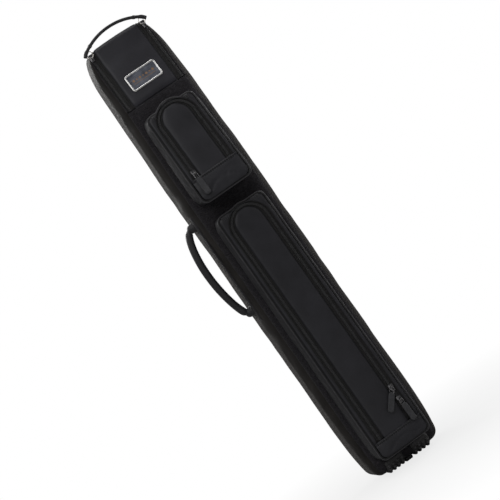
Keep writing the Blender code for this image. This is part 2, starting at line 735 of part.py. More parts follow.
def foot_profile(offset):
    """Down the front, round under the base and up the back, at a distance from the base: (y, z) points."""
    points = []
    radius = BASE_ROUND + offset
    for side, start in ((-1, 180), (1, 270)):
        centre_y = side * (HALF_DEPTH - BASE_ROUND)
        if side < 0:
            points.append((-HALF_DEPTH - offset, 0.026))
        for i in range(5):
            a = math.radians(start + 90 * i / 4)
            points.append((centre_y + radius * math.cos(a), BASE_Z + BASE_ROUND + radius * math.sin(a)))
    points.append((HALF_DEPTH + offset, 0.026))
    return points


def stud(y, z, angle, x):
    """A blunt pyramid standing out of the foot; angle 0 points down and 90 points forwards."""
    shape = bmesh.new()
    bmesh.ops.create_cone(
        shape, cap_ends=True, segments=4, radius1=0.0013 * math.sqrt(2), radius2=0.0021 * math.sqrt(2),
        depth=STUD + 0.001,
        matrix=Matrix.Rotation(math.radians(45), 4, "Z"),
    )
    bmesh.ops.translate(shape, verts=shape.verts, vec=(0, 0, -(STUD - 0.001) / 2))
    turn = Matrix.Translation((x, y, z)) @ Matrix.Rotation(math.radians(-angle), 4, "X")
    bmesh.ops.transform(shape, matrix=turn, verts=shape.verts)
    mesh = bpy.data.meshes.new("stud")
    shape.to_mesh(mesh)
    shape.free()
    return mesh


def make_feet():
    outer = foot_profile(GAP + FOOT_THICK)
    inner = foot_profile(GAP)
    outline = outer + list(reversed(inner))
    reach = BASE_ROUND + GAP + FOOT_THICK
    for side, sign in (("left", -1), ("right", 1)):
        rings = [[(sign * FOOT_X + half, y, z) for y, z in outline] for half in (-FOOT_HALF, FOOT_HALF)]
        studs = []
        for column in range(4):
            x = sign * FOOT_X + (column - 1.5) * STUD_PITCH
            for angle in (22, 50, 78):
                a = math.radians(angle)
                y = -(HALF_DEPTH - BASE_ROUND) - reach * math.sin(a)
                z = BASE_Z + BASE_ROUND - reach * math.cos(a)
                studs.append(stud(y, z, angle, x))
            for row in range(6):
                y = -0.024 + row * 0.0096
                studs.append(stud(y, BASE_Z - GAP - FOOT_THICK, 0.0, x))
        name = f"foot_{side}"
        add_part(name, joined(name, loft(name, rings), *studs), RUBBER)
    top = BASE_Z - GAP
    side_view = [(-0.030, 0.0035), (-0.024, 0.0), (0.024, 0.0), (0.030, 0.0035), (0.030, top), (-0.030, top)]
    rib = [[(x, y, z) for y, z in side_view] for x in (-0.0062, 0.0062)]
    add_part("base_rib", loft("base_rib", rib), RUBBER)


start_scene()
make_body()
make_inside()
make_pockets()
make_flap()
make_handle()
make_feet()
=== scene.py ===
"""Looks for the cue case: padded cloth, imitation leather, zips, hardware and studio.

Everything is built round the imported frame: positions come from its boxes and joints. Sizes are in metres.
"""

import itertools
import json
import math

import bmesh
import bpy
import numpy as np
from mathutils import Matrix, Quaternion, Vector, noise


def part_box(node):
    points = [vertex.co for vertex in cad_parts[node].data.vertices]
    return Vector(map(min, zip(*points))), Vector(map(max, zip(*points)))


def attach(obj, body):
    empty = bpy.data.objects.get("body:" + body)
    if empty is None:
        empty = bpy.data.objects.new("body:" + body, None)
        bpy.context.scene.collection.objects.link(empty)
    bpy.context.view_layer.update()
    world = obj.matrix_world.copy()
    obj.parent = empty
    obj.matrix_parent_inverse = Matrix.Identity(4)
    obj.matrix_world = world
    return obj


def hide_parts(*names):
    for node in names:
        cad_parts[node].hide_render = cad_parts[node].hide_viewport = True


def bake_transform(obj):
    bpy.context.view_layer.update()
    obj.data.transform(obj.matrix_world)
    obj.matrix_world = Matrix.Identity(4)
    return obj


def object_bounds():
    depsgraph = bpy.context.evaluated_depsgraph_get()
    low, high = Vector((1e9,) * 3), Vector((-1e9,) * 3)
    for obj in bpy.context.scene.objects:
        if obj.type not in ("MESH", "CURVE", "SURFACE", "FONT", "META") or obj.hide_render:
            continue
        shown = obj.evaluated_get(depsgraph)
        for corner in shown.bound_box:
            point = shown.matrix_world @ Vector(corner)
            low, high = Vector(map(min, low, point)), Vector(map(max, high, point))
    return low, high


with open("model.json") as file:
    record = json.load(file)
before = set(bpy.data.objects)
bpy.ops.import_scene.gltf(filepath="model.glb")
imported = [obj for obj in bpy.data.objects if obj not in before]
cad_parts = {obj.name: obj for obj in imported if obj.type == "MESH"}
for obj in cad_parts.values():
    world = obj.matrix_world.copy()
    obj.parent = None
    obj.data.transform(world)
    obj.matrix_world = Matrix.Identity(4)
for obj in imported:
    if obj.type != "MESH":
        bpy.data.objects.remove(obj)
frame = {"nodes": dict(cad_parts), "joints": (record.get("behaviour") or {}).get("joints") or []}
CAD_BOX = [list(corner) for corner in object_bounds()]
JOINTS = {joint["name"]: joint for joint in frame["joints"]}

# ---------------------------------------------------------------- sizes read from the frame
HALF_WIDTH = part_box("right_gusset")[1].x
FRONT_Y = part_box("front_panel")[0].y
BACK_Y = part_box("back_panel")[1].y
BASE_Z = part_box("base_cap")[0].z
TOP_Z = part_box("flap_top")[1].z
SEAM_Z = JOINTS["flap_hinge"]["pos_m"][2]
STRIP_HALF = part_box("flap_panel")[1].x
LID_BACK_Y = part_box("flap_top")[1].y
FOLD_Y = JOINTS["flap_fold"]["pos_m"][1]
LID_UP = -np.array(JOINTS["lid_slider_left_slide"]["axis"])
SLOPE = LID_UP[1] / LID_UP[2]
COIL_X = (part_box("flap_slider_right")[0].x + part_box("flap_slider_right")[1].x) / 2

# ---------------------------------------------------------------- soft-form sizes
SHOULDER_Z = TOP_Z - 0.060
SHOULDER_IN = 0.016
SHOULDER_HALF = HALF_WIDTH - 0.004
NARROWING_Z = 0.60
BASE_TAPER = 0.0035
BASE_TAPER_Z = 0.11
BASE_TAPER_REACH = 0.09
CORNER_LOW = 0.014
CORNER_HIGH = 0.0075
CORNER_TOP = 0.0020
BASE_ROUND = 0.016
TOP_EDGE = 0.009
SEAM_TURN = math.radians(35)
SEAM_END_X = 0.0541
LID_SHOULDER_Z = 0.8595
BELT_STEP = 0.0075
CHAIN_PITCH = 0.0014
SIDE_THICK = 0.0045
BELT_THICK = 0.0040
LID_THICK = 0.0032
TAPE_THICK = 0.0009
WALL_THICK = 0.0016
SKIN_THICK = 0.0014
PATCH_THICK = 0.0012
SOLE_THICK = 0.0010
WEB_THICK = 0.0008
WEB_REACH = 0.016
BEND_REACH = 0.007
PADDING = 0.0042


# ---------------------------------------------------------------- number helpers
def ease(t):
    t = np.clip(t, 0.0, 1.0)
    return t * t * (3 - 2 * t)


def mix(a, b, t):
    return a + (b - a) * np.clip(t, 0.0, 1.0)


def bump_at(value, centre, width):
    return np.exp(-(((value - centre) / width) ** 2))


def ripple(points, scale, seed):
    """Smooth noise, about -1 to 1, whose features are roughly scale (x, y, z) metres across."""
    size = Vector(scale)
    flat = np.asarray(points).reshape(-1, 3)
    shift = Vector((seed, 1.7 * seed, -2.3 * seed))
    found = [noise.noise(Vector((x / size.x, y / size.y, z / size.z)) + shift) for x, y, z in flat]
    return np.array(found).reshape(np.asarray(points).shape[:-1])


def unit(vectors):
    """Each vector along the last axis at length 1."""
    vectors = np.asarray(vectors, float)
    return vectors / np.maximum(np.linalg.norm(vectors, axis=-1, keepdims=True), 1e-12)


def grid_normals(points):
    return unit(np.cross(np.gradient(points, axis=1), np.gradient(points, axis=0)))


def resample(points, step):
    """Evenly spaced points along a polyline, about step apart."""
    points = np.asarray(points, float)
    gaps = np.linalg.norm(np.diff(points, axis=0), axis=1)
    run = np.concatenate([[0.0], np.cumsum(gaps)])
    count = max(2, int(round(run[-1] / step)) + 1)
    marks = np.linspace(0.0, run[-1], count)
    return np.stack([np.interp(marks, run, points[:, axis]) for axis in range(points.shape[1])], axis=1)


# ---------------------------------------------------------------- mesh helpers
def make_object(name, verts, faces, material, smooth=True):
    mesh = bpy.data.meshes.new(name)
    verts = np.asarray(verts, float).reshape(-1, 3).tolist()
    mesh.from_pydata(verts, [], [list(map(int, face)) for face in faces])
    mesh.validate()
    mesh.update()
    if smooth:
        mesh.shade_smooth()
    obj = bpy.data.objects.new(name, mesh)
    bpy.context.scene.collection.objects.link(obj)
    mesh.materials.append(material)
    return obj


def grid_faces(rows, columns, wrap=False, flip=False, start=0):
    index = start + np.arange(rows * columns).reshape(rows, columns)
    if wrap:
        index = np.concatenate([index, index[:, :1]], axis=1)
    quads = np.stack([index[:-1, :-1], index[:-1, 1:], index[1:, 1:], index[1:, :-1]], axis=-1).reshape(-1, 4)
    return quads[:, ::-1] if flip else quads


def sheet(name, points, material, thickness, lining=None, flip=False, smooth=False):
    """A grid of points (rows, columns, 3) as a sheet with a thickness, lined and smoothed if asked."""
    rows, columns, _ = points.shape
    obj = make_object(name, points, grid_faces(rows, columns, flip=flip), material)
    thicken(obj, thickness, lining)
    if smooth:
        soften(obj)
    return obj


def thicken(obj, thickness, lining):
    """Gives a sheet its thickness, with the lining on its inner side."""
    solid = obj.modifiers.new("thickness", "SOLIDIFY")
    solid.thickness = thickness
    solid.offset = -1.0
    if lining:
        obj.data.materials.append(lining)
        solid.material_offset = 1


def soften(obj):
    subdivide = obj.modifiers.new("soften", "SUBSURF")
    subdivide.levels = subdivide.render_levels = 1


def bar_arrays(points, ups, profile, swell=None, closed=False):
    """Rings of profile (side, up) offsets carried along points; swell scales each ring."""
    points = np.asarray(points, float)
    ups = np.broadcast_to(np.asarray(ups, float), points.shape)
    if closed:
        tangent = unit(np.roll(points, -1, axis=0) - np.roll(points, 1, axis=0))
    else:
        tangent = unit(np.gradient(points, axis=0))
    side = unit(np.cross(tangent, ups))
    up = np.cross(side, tangent)
    scale = np.ones(len(points)) if swell is None else np.asarray(swell, float)
    offsets = np.asarray(profile, float)[None, :, :] * scale[:, None, None]
    return points[:, None, :] + side[:, None, :] * offsets[..., :1] + up[:, None, :] * offsets[..., 1:]


def bar(name, points, ups, profile, material, swell=None, closed=False):
    """A closed solid bar along points."""
    rings = bar_arrays(points, ups, profile, swell, closed)
    rows, columns, _ = rings.shape
    if closed:
        rings = np.concatenate([rings, rings[:1]], axis=0)
        faces = grid_faces(rows + 1, columns, wrap=True, flip=True)
        faces = np.where(faces >= rows * columns, faces - rows * columns, faces)
        return make_object(name, rings[:-1], faces, material)
    return make_object(name, rings, capped_faces(rows, columns), material)


def capped_faces(rows, columns, start=0, flip=True):
    """The faces of a closed run of rings, with a cap at each end."""
    faces = grid_faces(rows, columns, wrap=True, flip=flip, start=start).tolist()
    last = start + rows * columns - 1
    return [*faces, list(range(start, start + columns)), list(range(last, last - columns, -1))]


def soft_box(half_width, half_height, sides, power_x, power_y):
    """Points round a shape between an ellipse and a rectangle, the squarer the lower its powers: x, y."""
    turn = np.linspace(0, 2 * math.pi, sides, endpoint=False)
    c, s = np.cos(turn), np.sin(turn)
    return half_width * np.sign(c) * np.abs(c) ** power_x, half_height * np.sign(s) * np.abs(s) ** power_y


def circle(radius, sides, flat=1.0):
    turn = np.linspace(0, 2 * math.pi, sides, endpoint=False)
    return np.stack([radius * np.cos(turn), radius * flat * np.sin(turn)], axis=1)


def join(name, objects):
    """Several new meshes as one object."""
    first = objects[0]
    with bpy.context.temp_override(active_object=first, selected_editable_objects=objects, object=first):
        bpy.ops.object.join()
    first.name = name
    return first


STITCH_GAP = 0.0011
THREAD_RADIUS = 0.00032
THREAD_LIFT = 0.00012


def stitches(name, points, ups, length=0.0030):
    """A row of short thread loops lying along a line."""
    line = resample(points, length + STITCH_GAP)
    up = unit(ups)
    verts, faces = [], []
    profile = circle(THREAD_RADIUS, 6)
    for a, b in zip(line, line[1:]):
        trim = unit(b - a) * STITCH_GAP / 2
        marks = np.array([0.0, 0.25, 0.75, 1.0])[:, None]
        path = a + trim + (b - a - 2 * trim) * marks + up * THREAD_LIFT
        path[[0, -1]] -= up * THREAD_RADIUS * 1.2
        faces.extend(capped_faces(len(path), len(profile), start=len(verts)))
        verts.extend(bar_arrays(path, up, profile).reshape(-1, 3))
    return make_object(name, verts, faces, THREAD)


PADDED = []
PADDING_FRAMES = 20
PADDING_PRESSURE = 4.0
PADDING_SLACK = 0.0015
PADDING_CAP = 0.0022


def pad(obj, sewn):
    """Queues a padded piece for the cloth run. sewn lists the points that its seams hold still."""
    PADDED.append((obj, [int(index) for index in sewn]))


def grid_border(rows, columns):
    index = np.arange(rows * columns).reshape(rows, columns)
    return np.unique(np.concatenate([index[:, 0], index[:, -1], index[0], index[-1]]))


def mesh_points(mesh):
    flat = np.empty(len(mesh.vertices) * 3)
    mesh.vertices.foreach_get("co", flat)
    return flat.reshape(-1, 3)


def add_cloth(obj, sewn):
    group = obj.vertex_groups.new(name="sewn")
    group.add(sewn, 1.0, "REPLACE")
    cloth = obj.modifiers.new("padding", "CLOTH")
    settings = cloth.settings
    settings.quality = 4
    settings.mass = 0.25
    settings.tension_stiffness = settings.compression_stiffness = 12
    settings.shear_stiffness = 4
    settings.bending_stiffness = 2.5
    settings.vertex_group_mass = "sewn"
    settings.shrink_min = -PADDING_SLACK
    settings.use_pressure = True
    settings.uniform_pressure_force = PADDING_PRESSURE
    settings.effector_weights.gravity = 0.0
    cloth.collision_settings.use_collision = False
    cloth.point_cache.frame_start = 1
    cloth.point_cache.frame_end = PADDING_FRAMES
    return cloth


def run_padding():
    """Inflates every queued piece together, keeps the shape within its cap and removes the simulation."""
    if not PADDED:
        return
    later = [modifier for obj, _ in PADDED for modifier in obj.modifiers]
    for modifier in later:
        modifier.show_viewport = False
    cloths = [add_cloth(obj, sewn) for obj, sewn in PADDED]
    for step in range(1, PADDING_FRAMES + 1):
        bpy.context.scene.frame_set(step)
    graph = bpy.context.evaluated_depsgraph_get()
    found = [mesh_points(obj.evaluated_get(graph).data) for obj, _ in PADDED]
    for (obj, _), cloth, puffed in zip(PADDED, cloths, found):
        start = mesh_points(obj.data)
        move = puffed - start
        length = np.maximum(np.linalg.norm(move, axis=1, keepdims=True), 1e-9)
        start += move * (PADDING_CAP * np.tanh(length / PADDING_CAP) / length)
        obj.data.vertices.foreach_set("co", start.reshape(-1))
        obj.modifiers.remove(cloth)
        obj.data.update()
    for modifier in later:
        modifier.show_viewport = True
    bpy.context.scene.frame_set(1)


def cord(name, line, ups, profile, material, rider, slot, closed=False):
    """A thin bar along a line, tied to its body, or fixed in place where a bend is given."""
    place(bar(name, line, ups, profile, material, closed=closed), rider, slot)


def place(obj, rider, slot, *nodes):
    """Ties a piece to a body; with a bend (body, body, start, end) it only fixes the piece where it is. Hides
    the given CAD nodes; slot is not used.
    """
    if isinstance(rider, str):
        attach(obj, rider)
    else:
        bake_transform(obj)
    if nodes:
        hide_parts(*nodes)


# ---------------------------------------------------------------- materials
class Shade:
    """A Principled material with short helpers to wire procedural detail into it."""

    def __init__(self, name, colour, roughness, metallic=0.0):
        self.material = bpy.data.materials.new(name)
        self.material.use_nodes = True
        self.nodes = self.material.node_tree.nodes
        self.links = self.material.node_tree.links
        self.shader = self.nodes["Principled BSDF"]
        self.shader.inputs["Base Color"].default_value = (*colour, 1.0)
        self.shader.inputs["Roughness"].default_value = roughness
        self.shader.inputs["Metallic"].default_value = metallic
        self.place = self.nodes.new("ShaderNodeTexCoord").outputs["Object"]
        self.normal = None

    def math(self, operation, *values):
        node = self.nodes.new("ShaderNodeMath")
        node.operation = operation
        for socket, value in zip(node.inputs, values):
            if isinstance(value, (int, float)):
                socket.default_value = value
            else:
                self.links.new(value, socket)
        return node.outputs[0]

    def noise(self, scale, detail=3.0, roughness=0.5, stretch=(1.0, 1.0, 1.0)):
        scaled = self.nodes.new("ShaderNodeVectorMath")
        scaled.operation = "MULTIPLY"
        scaled.inputs[1].default_value = stretch
        self.links.new(self.place, scaled.inputs[0])
        node = self.nodes.new("ShaderNodeTexNoise")
        node.inputs["Scale"].default_value = scale
        node.inputs["Detail"].default_value = detail
        node.inputs["Roughness"].default_value = roughness
        self.links.new(scaled.outputs[0], node.inputs["Vector"])
        return node.outputs["Fac"]

    def cells(self, scale):
        node = self.nodes.new("ShaderNodeTexVoronoi")
        node.inputs["Scale"].default_value = scale
        self.links.new(self.place, node.inputs["Vector"])
        return node.outputs["Distance"]

    def weave(self, period):
        """Over-and-under threads along the height and round the girth."""
        split = self.nodes.new("ShaderNodeSeparateXYZ")
        self.links.new(self.place, split.inputs[0])
        girth = self.math("ADD", split.outputs["X"], split.outputs["Y"])
        turn = 2 * math.pi / period
        warp = self.math("SINE", self.math("MULTIPLY", girth, turn))
        weft = self.math("SINE", self.math("MULTIPLY", split.outputs["Z"], turn))
        return self.math("MULTIPLY", warp, weft)

    def ramp(self, value, low, high, dark, light):
        node = self.nodes.new("ShaderNodeMapRange")
        node.inputs["From Min"].default_value = low
        node.inputs["From Max"].default_value = high
        node.inputs["To Min"].default_value = dark
        node.inputs["To Max"].default_value = light
        self.links.new(value, node.inputs["Value"])
        return node.outputs["Result"]

    def tint(self, value, dark, light):
        """Base colour from a 0 to 1 value."""
        node = self.nodes.new("ShaderNodeMix")
        node.data_type = "RGBA"
        node.inputs["A"].default_value = (*dark, 1.0)
        node.inputs["B"].default_value = (*light, 1.0)
        self.links.new(value, node.inputs["Factor"])
        self.links.new(node.outputs["Result"], self.shader.inputs["Base Color"])

    def relief(self, height, distance, strength):
        node = self.nodes.new("ShaderNodeBump")
        node.inputs["Distance"].default_value = distance
        node.inputs["Strength"].default_value = strength
        self.links.new(height, node.inputs["Height"])
        if self.normal is not None:
            self.links.new(self.normal, node.inputs["Normal"])
        self.normal = node.outputs["Normal"]
        self.links.new(self.normal, self.shader.inputs["Normal"])

    def feed(self, socket, value):
        self.links.new(value, self.shader.inputs[socket])

    def sheen(self, weight, roughness=0.4, tint=(1.0, 1.0, 1.0)):
        self.shader.inputs["Sheen Weight"].default_value = weight
        self.shader.inputs["Sheen Roughness"].default_value = roughness
        self.shader.inputs["Sheen Tint"].default_value = (*tint, 1.0)


def woven_cloth():
    """Charcoal heathered cloth: fine plain weave with paler flecks."""
    shade = Shade("woven_cloth", (0.012, 0.011, 0.012), 0.85)
    weave = shade.weave(0.0015)
    fleck = shade.noise(1100, 2.0, 0.7)
    patch = shade.noise(240, 3.0, 0.6, (1.0, 1.0, 1.8))
    value = shade.math("ADD", shade.math("MULTIPLY", fleck, 0.65), shade.math("MULTIPLY", patch, 0.35))
    shade.tint(shade.ramp(value, 0.40, 0.62, 0.0, 1.0), (0.0080, 0.0073, 0.0085), (0.049, 0.0455, 0.0510))
    shade.relief(weave, 0.00022, 0.8)
    shade.relief(fleck, 0.00025, 0.6)
    shade.feed("Roughness", shade.ramp(patch, 0.3, 0.7, 0.75, 0.95))
    shade.sheen(0.05, 0.5, (0.8, 0.8, 0.85))
    shade.shader.inputs["Specular IOR Level"].default_value = 0.15
    return shade.material


def leather(name, dark, light, rough):
    """Satin imitation leather with a fine pebble, tone drift and faint creases."""
    shade = Shade(name, light, rough[0])
    pebble = shade.cells(760)
    pores = shade.noise(2100, 2.0, 0.6)
    drift = shade.noise(22, 4.0, 0.55)
    crease = shade.noise(130, 5.0, 0.65, (1.0, 1.0, 0.45))
    shade.tint(shade.ramp(drift, 0.32, 0.70, 0.0, 1.0), dark, light)
    spread = shade.math("ADD", shade.math("MULTIPLY", drift, 0.6), shade.math("MULTIPLY", pores, 0.4))
    shade.feed("Roughness", shade.ramp(spread, 0.35, 0.65, *rough))
    shade.relief(pebble, 0.00016, 0.55)
    shade.relief(pores, 0.00008, 0.4)
    shade.relief(crease, 0.0006, 0.22)
    shade.shader.inputs["Specular IOR Level"].default_value = 0.36
    shade.shader.inputs["Coat Weight"].default_value = 0.03
    shade.shader.inputs["Coat Roughness"].default_value = 0.35
    return shade.material


def brushed_plate():
    """Blue-grey metal brushed along its length."""
    shade = Shade("brushed_plate", (0.16, 0.17, 0.20), 0.32, 1.0)
    brush = shade.noise(3200, 2.0, 0.5, (0.03, 1.0, 1.0))
    cloud = shade.noise(45, 2.0, 0.5)
    shade.tint(shade.ramp(cloud, 0.35, 0.65, 0.0, 1.0), (0.12, 0.13, 0.16), (0.33, 0.345, 0.40))
    shade.feed("Roughness", shade.ramp(brush, 0.3, 0.7, 0.26, 0.44))
    shade.relief(brush, 0.00003, 0.7)
    return shade.material


def surface(name, grain, band, dark, light, rough, metallic=0.0, rough_band=(0.3, 0.7), bumps=(),
            sheen=None, specular=None):
    """A material whose tone and roughness follow one noise.

    band is the noise's range from the dark tone to the light one. rough is one value or the ends of a range.
    Each bump is (noise arguments or a weave's period, depth, strength).
    """
    shade = Shade(name, light, 0.5, metallic)
    tone = shade.noise(*grain)
    shade.tint(shade.ramp(tone, *band, 0.0, 1.0), dark, light)
    if isinstance(rough, tuple):
        shade.feed("Roughness", shade.ramp(tone, *rough_band, *rough))
    else:
        shade.shader.inputs["Roughness"].default_value = rough
    for height, depth, strength in bumps:
        relief = shade.noise(*height) if isinstance(height, tuple) else shade.weave(height)
        shade.relief(relief, depth, strength)
    if sheen:
        shade.sheen(*sheen)
    if specular:
        shade.shader.inputs["Specular IOR Level"].default_value = specular
    return shade.material


def rubber(name, dark, light):
    return surface(name, (300, 4.0, 0.65), (0.35, 0.72), dark, light, (0.50, 0.72),
                   bumps=[((2400, 2.0, 0.6), 0.00007, 0.5)])


# Cloth, tape and thread
CLOTH = woven_cloth()
SIDE = surface("side_cloth", (28, 4.0, 0.55), (0.35, 0.68), (0.014, 0.0122, 0.0112), (0.025, 0.022, 0.0202),
               (0.64, 0.78), bumps=[(0.0009, 0.00009, 0.7), ((1300, 2.0, 0.6), 0.00007, 0.5)],
               sheen=(0.05, 0.35, (1.0, 0.95, 0.9)), specular=0.22)
TAPE = surface("tape_cloth", (1500, 2.0, 0.7), (0.35, 0.68), (0.0135, 0.0130, 0.0133),
               (0.043, 0.0415, 0.0415), 0.8, bumps=[(0.0011, 0.00020, 0.9)], sheen=(0.05, 0.5), specular=0.2)
THREAD = surface("sewing_thread", (4200, 1.0), (0.3, 0.7), (0.030, 0.029, 0.031), (0.085, 0.083, 0.088),
                 0.55, bumps=[((4200, 1.0), 0.00006, 0.6)], sheen=(0.3, 0.3))
LINING = surface("knit_lining", (900, 3.0, 0.7), (0.35, 0.68), (0.018, 0.0185, 0.021), (0.052, 0.053, 0.058),
                 0.95, bumps=[((900, 3.0, 0.7), 0.0005, 0.6)], sheen=(0.35, 0.6))

# Imitation leather
LID_LEATHER = leather("lid_leather", (0.0165, 0.016, 0.0205), (0.027, 0.0262, 0.0335), (0.42, 0.56))
POCKET_LEATHER = leather("pocket_leather", (0.0155, 0.015, 0.018), (0.025, 0.0243, 0.0295), (0.44, 0.58))
# A darker copy of the pocket leather for the walls: painted shade that holds the side-lit walls down.
WALL_LEATHER_SHADED = leather("wall_leather", (0.0090, 0.0088, 0.0102), (0.0155, 0.0150, 0.0173), (0.48, 0.62))
DOOR_LEATHER = leather("door_leather", (0.0160, 0.0156, 0.0190), (0.0245, 0.0240, 0.0295), (0.42, 0.54))
HANDLE_LEATHER = leather("handle_leather", (0.020, 0.0195, 0.0210), (0.034, 0.033, 0.0360), (0.44, 0.60))
# A paler copy of the leather for pipings and welts: the piping is real, its lighter tone is painted highlight
# along the edges.
PIPING_PAINTED_HIGHLIGHT = leather("piping_leather", (0.034, 0.033, 0.036), (0.052, 0.050, 0.055), (0.36, 0.50))

# Metal
GUNMETAL = surface("dark_metal", (380, 4.0, 0.6), (0.40, 0.72), (0.085, 0.085, 0.092), (0.30, 0.29, 0.29),
                   (0.20, 0.38), metallic=1.0, bumps=[((2600, 2.0), 0.00002, 0.4)])
NICKEL = surface("polished_metal", (160, 4.0, 0.6), (0.3, 0.7), (0.78, 0.73, 0.66), (0.88, 0.85, 0.80),
                 (0.09, 0.22), metallic=1.0, rough_band=(0.35, 0.7), bumps=[((900, 3.0), 0.00001, 0.4)])
RIM = surface("plated_rim", (220, 4.0, 0.6), (0.3, 0.7), (0.90, 0.89, 0.87), (0.98, 0.97, 0.95),
              (0.22, 0.36), metallic=1.0, rough_band=(0.35, 0.7), bumps=[((1100, 3.0), 0.00001, 0.4)])
COPPER = surface("copper_print", (900, 3.0, 0.6), (0.35, 0.7), (0.42, 0.24, 0.14), (0.66, 0.42, 0.27),
                 0.35, metallic=0.85)
PLATE = brushed_plate()

# Rubber and plastic
CHAIN = surface("chain_nylon", (420, 3.0, 0.6), (0.35, 0.7), (0.0105, 0.0105, 0.0110), (0.034, 0.034, 0.0355),
                (0.26, 0.46))
PLASTIC = surface("tube_plastic", (210, 4.0, 0.6, (1.0, 1.0, 0.2)), (0.4, 0.72), (0.022, 0.022, 0.023),
                  (0.055, 0.055, 0.056), (0.34, 0.55), bumps=[((1800, 2.0), 0.00004, 0.4)])
PULL_RUBBER = rubber("pull_rubber", (0.026, 0.026, 0.029), (0.046, 0.046, 0.051))
FOOT_RUBBER = rubber("foot_rubber", (0.026, 0.025, 0.026), (0.060, 0.058, 0.060))
# A paler copy of the foot rubber for the studs: painted highlight on their lit faces.
STUD_RUBBER_LIT = rubber("stud_rubber", (0.050, 0.048, 0.050), (0.110, 0.106, 0.110))
# Painted shadow: near-black cords of this stand in for the shade in seams, grooves and under edges.
SEAM_SHADE = rubber("seam_shadow", (0.002, 0.002, 0.002), (0.005, 0.005, 0.005))


# ---------------------------------------------------------------- body form
def half_width(z):
    """Half the body's girth in x at a height."""
    z = np.asarray(z, float)
    base = HALF_WIDTH - BASE_TAPER * np.clip((BASE_TAPER_Z - z) / BASE_TAPER_REACH, 0, 1) ** 2
    upper = mix(0.0, HALF_WIDTH - SHOULDER_HALF, (z - NARROWING_Z) / (SHOULDER_Z - NARROWING_Z))
    rise = np.clip((z - SHOULDER_Z) / (TOP_Z - SHOULDER_Z), 0, 1)
    return base - upper - SHOULDER_IN * (1 - np.sqrt(1 - rise**2))


def shoulder_fall(x):
    """How far the top has dropped at a distance x from the middle."""
    share = np.clip((SHOULDER_HALF - np.abs(x)) / SHOULDER_IN, 0, 1)
    height = SHOULDER_Z + (TOP_Z - SHOULDER_Z) * np.sqrt(1 - (1 - share) ** 2)
    return TOP_Z - height


def corner_radius(z):
    wide = mix(CORNER_LOW, CORNER_HIGH, (np.asarray(z) - 0.76) / 0.08)
    return mix(wide, CORNER_TOP, (np.asarray(z) - 0.845) / 0.0145)


def base_inset(z):
    share = np.clip(1 - (np.asarray(z) - BASE_Z) / BASE_ROUND, 0, 1)
    return BASE_ROUND * (1 - np.sqrt(1 - share**2))


def top_inset(z):
    share = np.clip((np.asarray(z) - TOP_Z + TOP_EDGE) / TOP_EDGE, 0, 1)
    return TOP_EDGE * (1 - np.sqrt(1 - share**2))


def front_y(z):
    return FRONT_Y + SLOPE * np.maximum(0.0, np.asarray(z) - SEAM_Z)


def section(z):
    """Half width, front y, back y and corner radius of the body at a height."""
    inset = base_inset(z)
    cap = top_inset(z)
    radius = corner_radius(z) * (1 - 0.5 * inset / BASE_ROUND)
    return half_width(z) - inset, front_y(z) + inset + cap, BACK_Y - inset - cap, radius


def seam_x(z):
    """Where the side panel's seam lies, part of the way round each corner."""
    half, _, _, radius = section(z)
    return np.maximum(half - radius * (1 - math.sin(SEAM_TURN)), SEAM_END_X * (np.asarray(z) > 0.5))


def body_surface(x, y, z, ny, nz):
    """The body's skin and outward normals at x beside a profile point (y, z) with normal (ny, nz)."""
    half, _, _, radius = section(np.minimum(z, TOP_Z - TOP_EDGE))
    over = np.clip(np.abs(x) - (half - radius), 0, radius * 0.98)
    drop = (radius - np.sqrt(radius**2 - over**2)) * np.abs(ny)
    fall = shoulder_fall(x) * np.clip((z - 0.80) / 0.064, 0, 1) ** 3
    return np.stack([x, y - ny * drop, z - fall], axis=-1), np.stack([np.zeros_like(x), ny, nz], axis=-1)


def straight_rows(y, z, ny, nz):
    """Profile rows (y, z, ny, nz) along a straight stretch."""
    return np.stack(np.broadcast_arrays(*(np.asarray(value, float) for value in (y, z, ny, nz))), axis=1)


def turned_rows(y, z, radius, start):
    """Profile rows round a quarter turn about (y, z); start is the first row's angle from straight up."""
    angle = np.radians(start + np.linspace(0, 90, 8))
    ny, nz = np.sin(angle), np.cos(angle)
    return straight_rows(y + radius * ny, z + radius * nz, ny, nz)


def lid_profile(count_front=46, count_edge=9, count_top=16):
    """From the lid's sewn edge up the sloping front, round the top edge and back: (y, z, ny, nz) rows."""
    high = TOP_Z - TOP_EDGE
    z = np.linspace(SEAM_Z, high, count_front)
    turn = np.linspace(0, math.pi / 2, count_edge + 2)[1:-1]
    edge_y = front_y(high) + TOP_EDGE
    ny, nz = -np.cos(turn), np.sin(turn)
    return np.concatenate([
        straight_rows(front_y(z), z, -LID_UP[2], LID_UP[1]),
        straight_rows(edge_y + TOP_EDGE * ny, high + TOP_EDGE * nz, ny, nz),
        straight_rows(np.linspace(edge_y, LID_BACK_Y, count_top), TOP_Z, 0.0, 1.0),
    ])


def along_lid(x_of_row, rows):
    """Points and outward normals on the skin along the lid's profile, at x given for each row."""
    x = np.broadcast_to(np.asarray(x_of_row, float), (len(rows),))
    return body_surface(x, *rows.T)


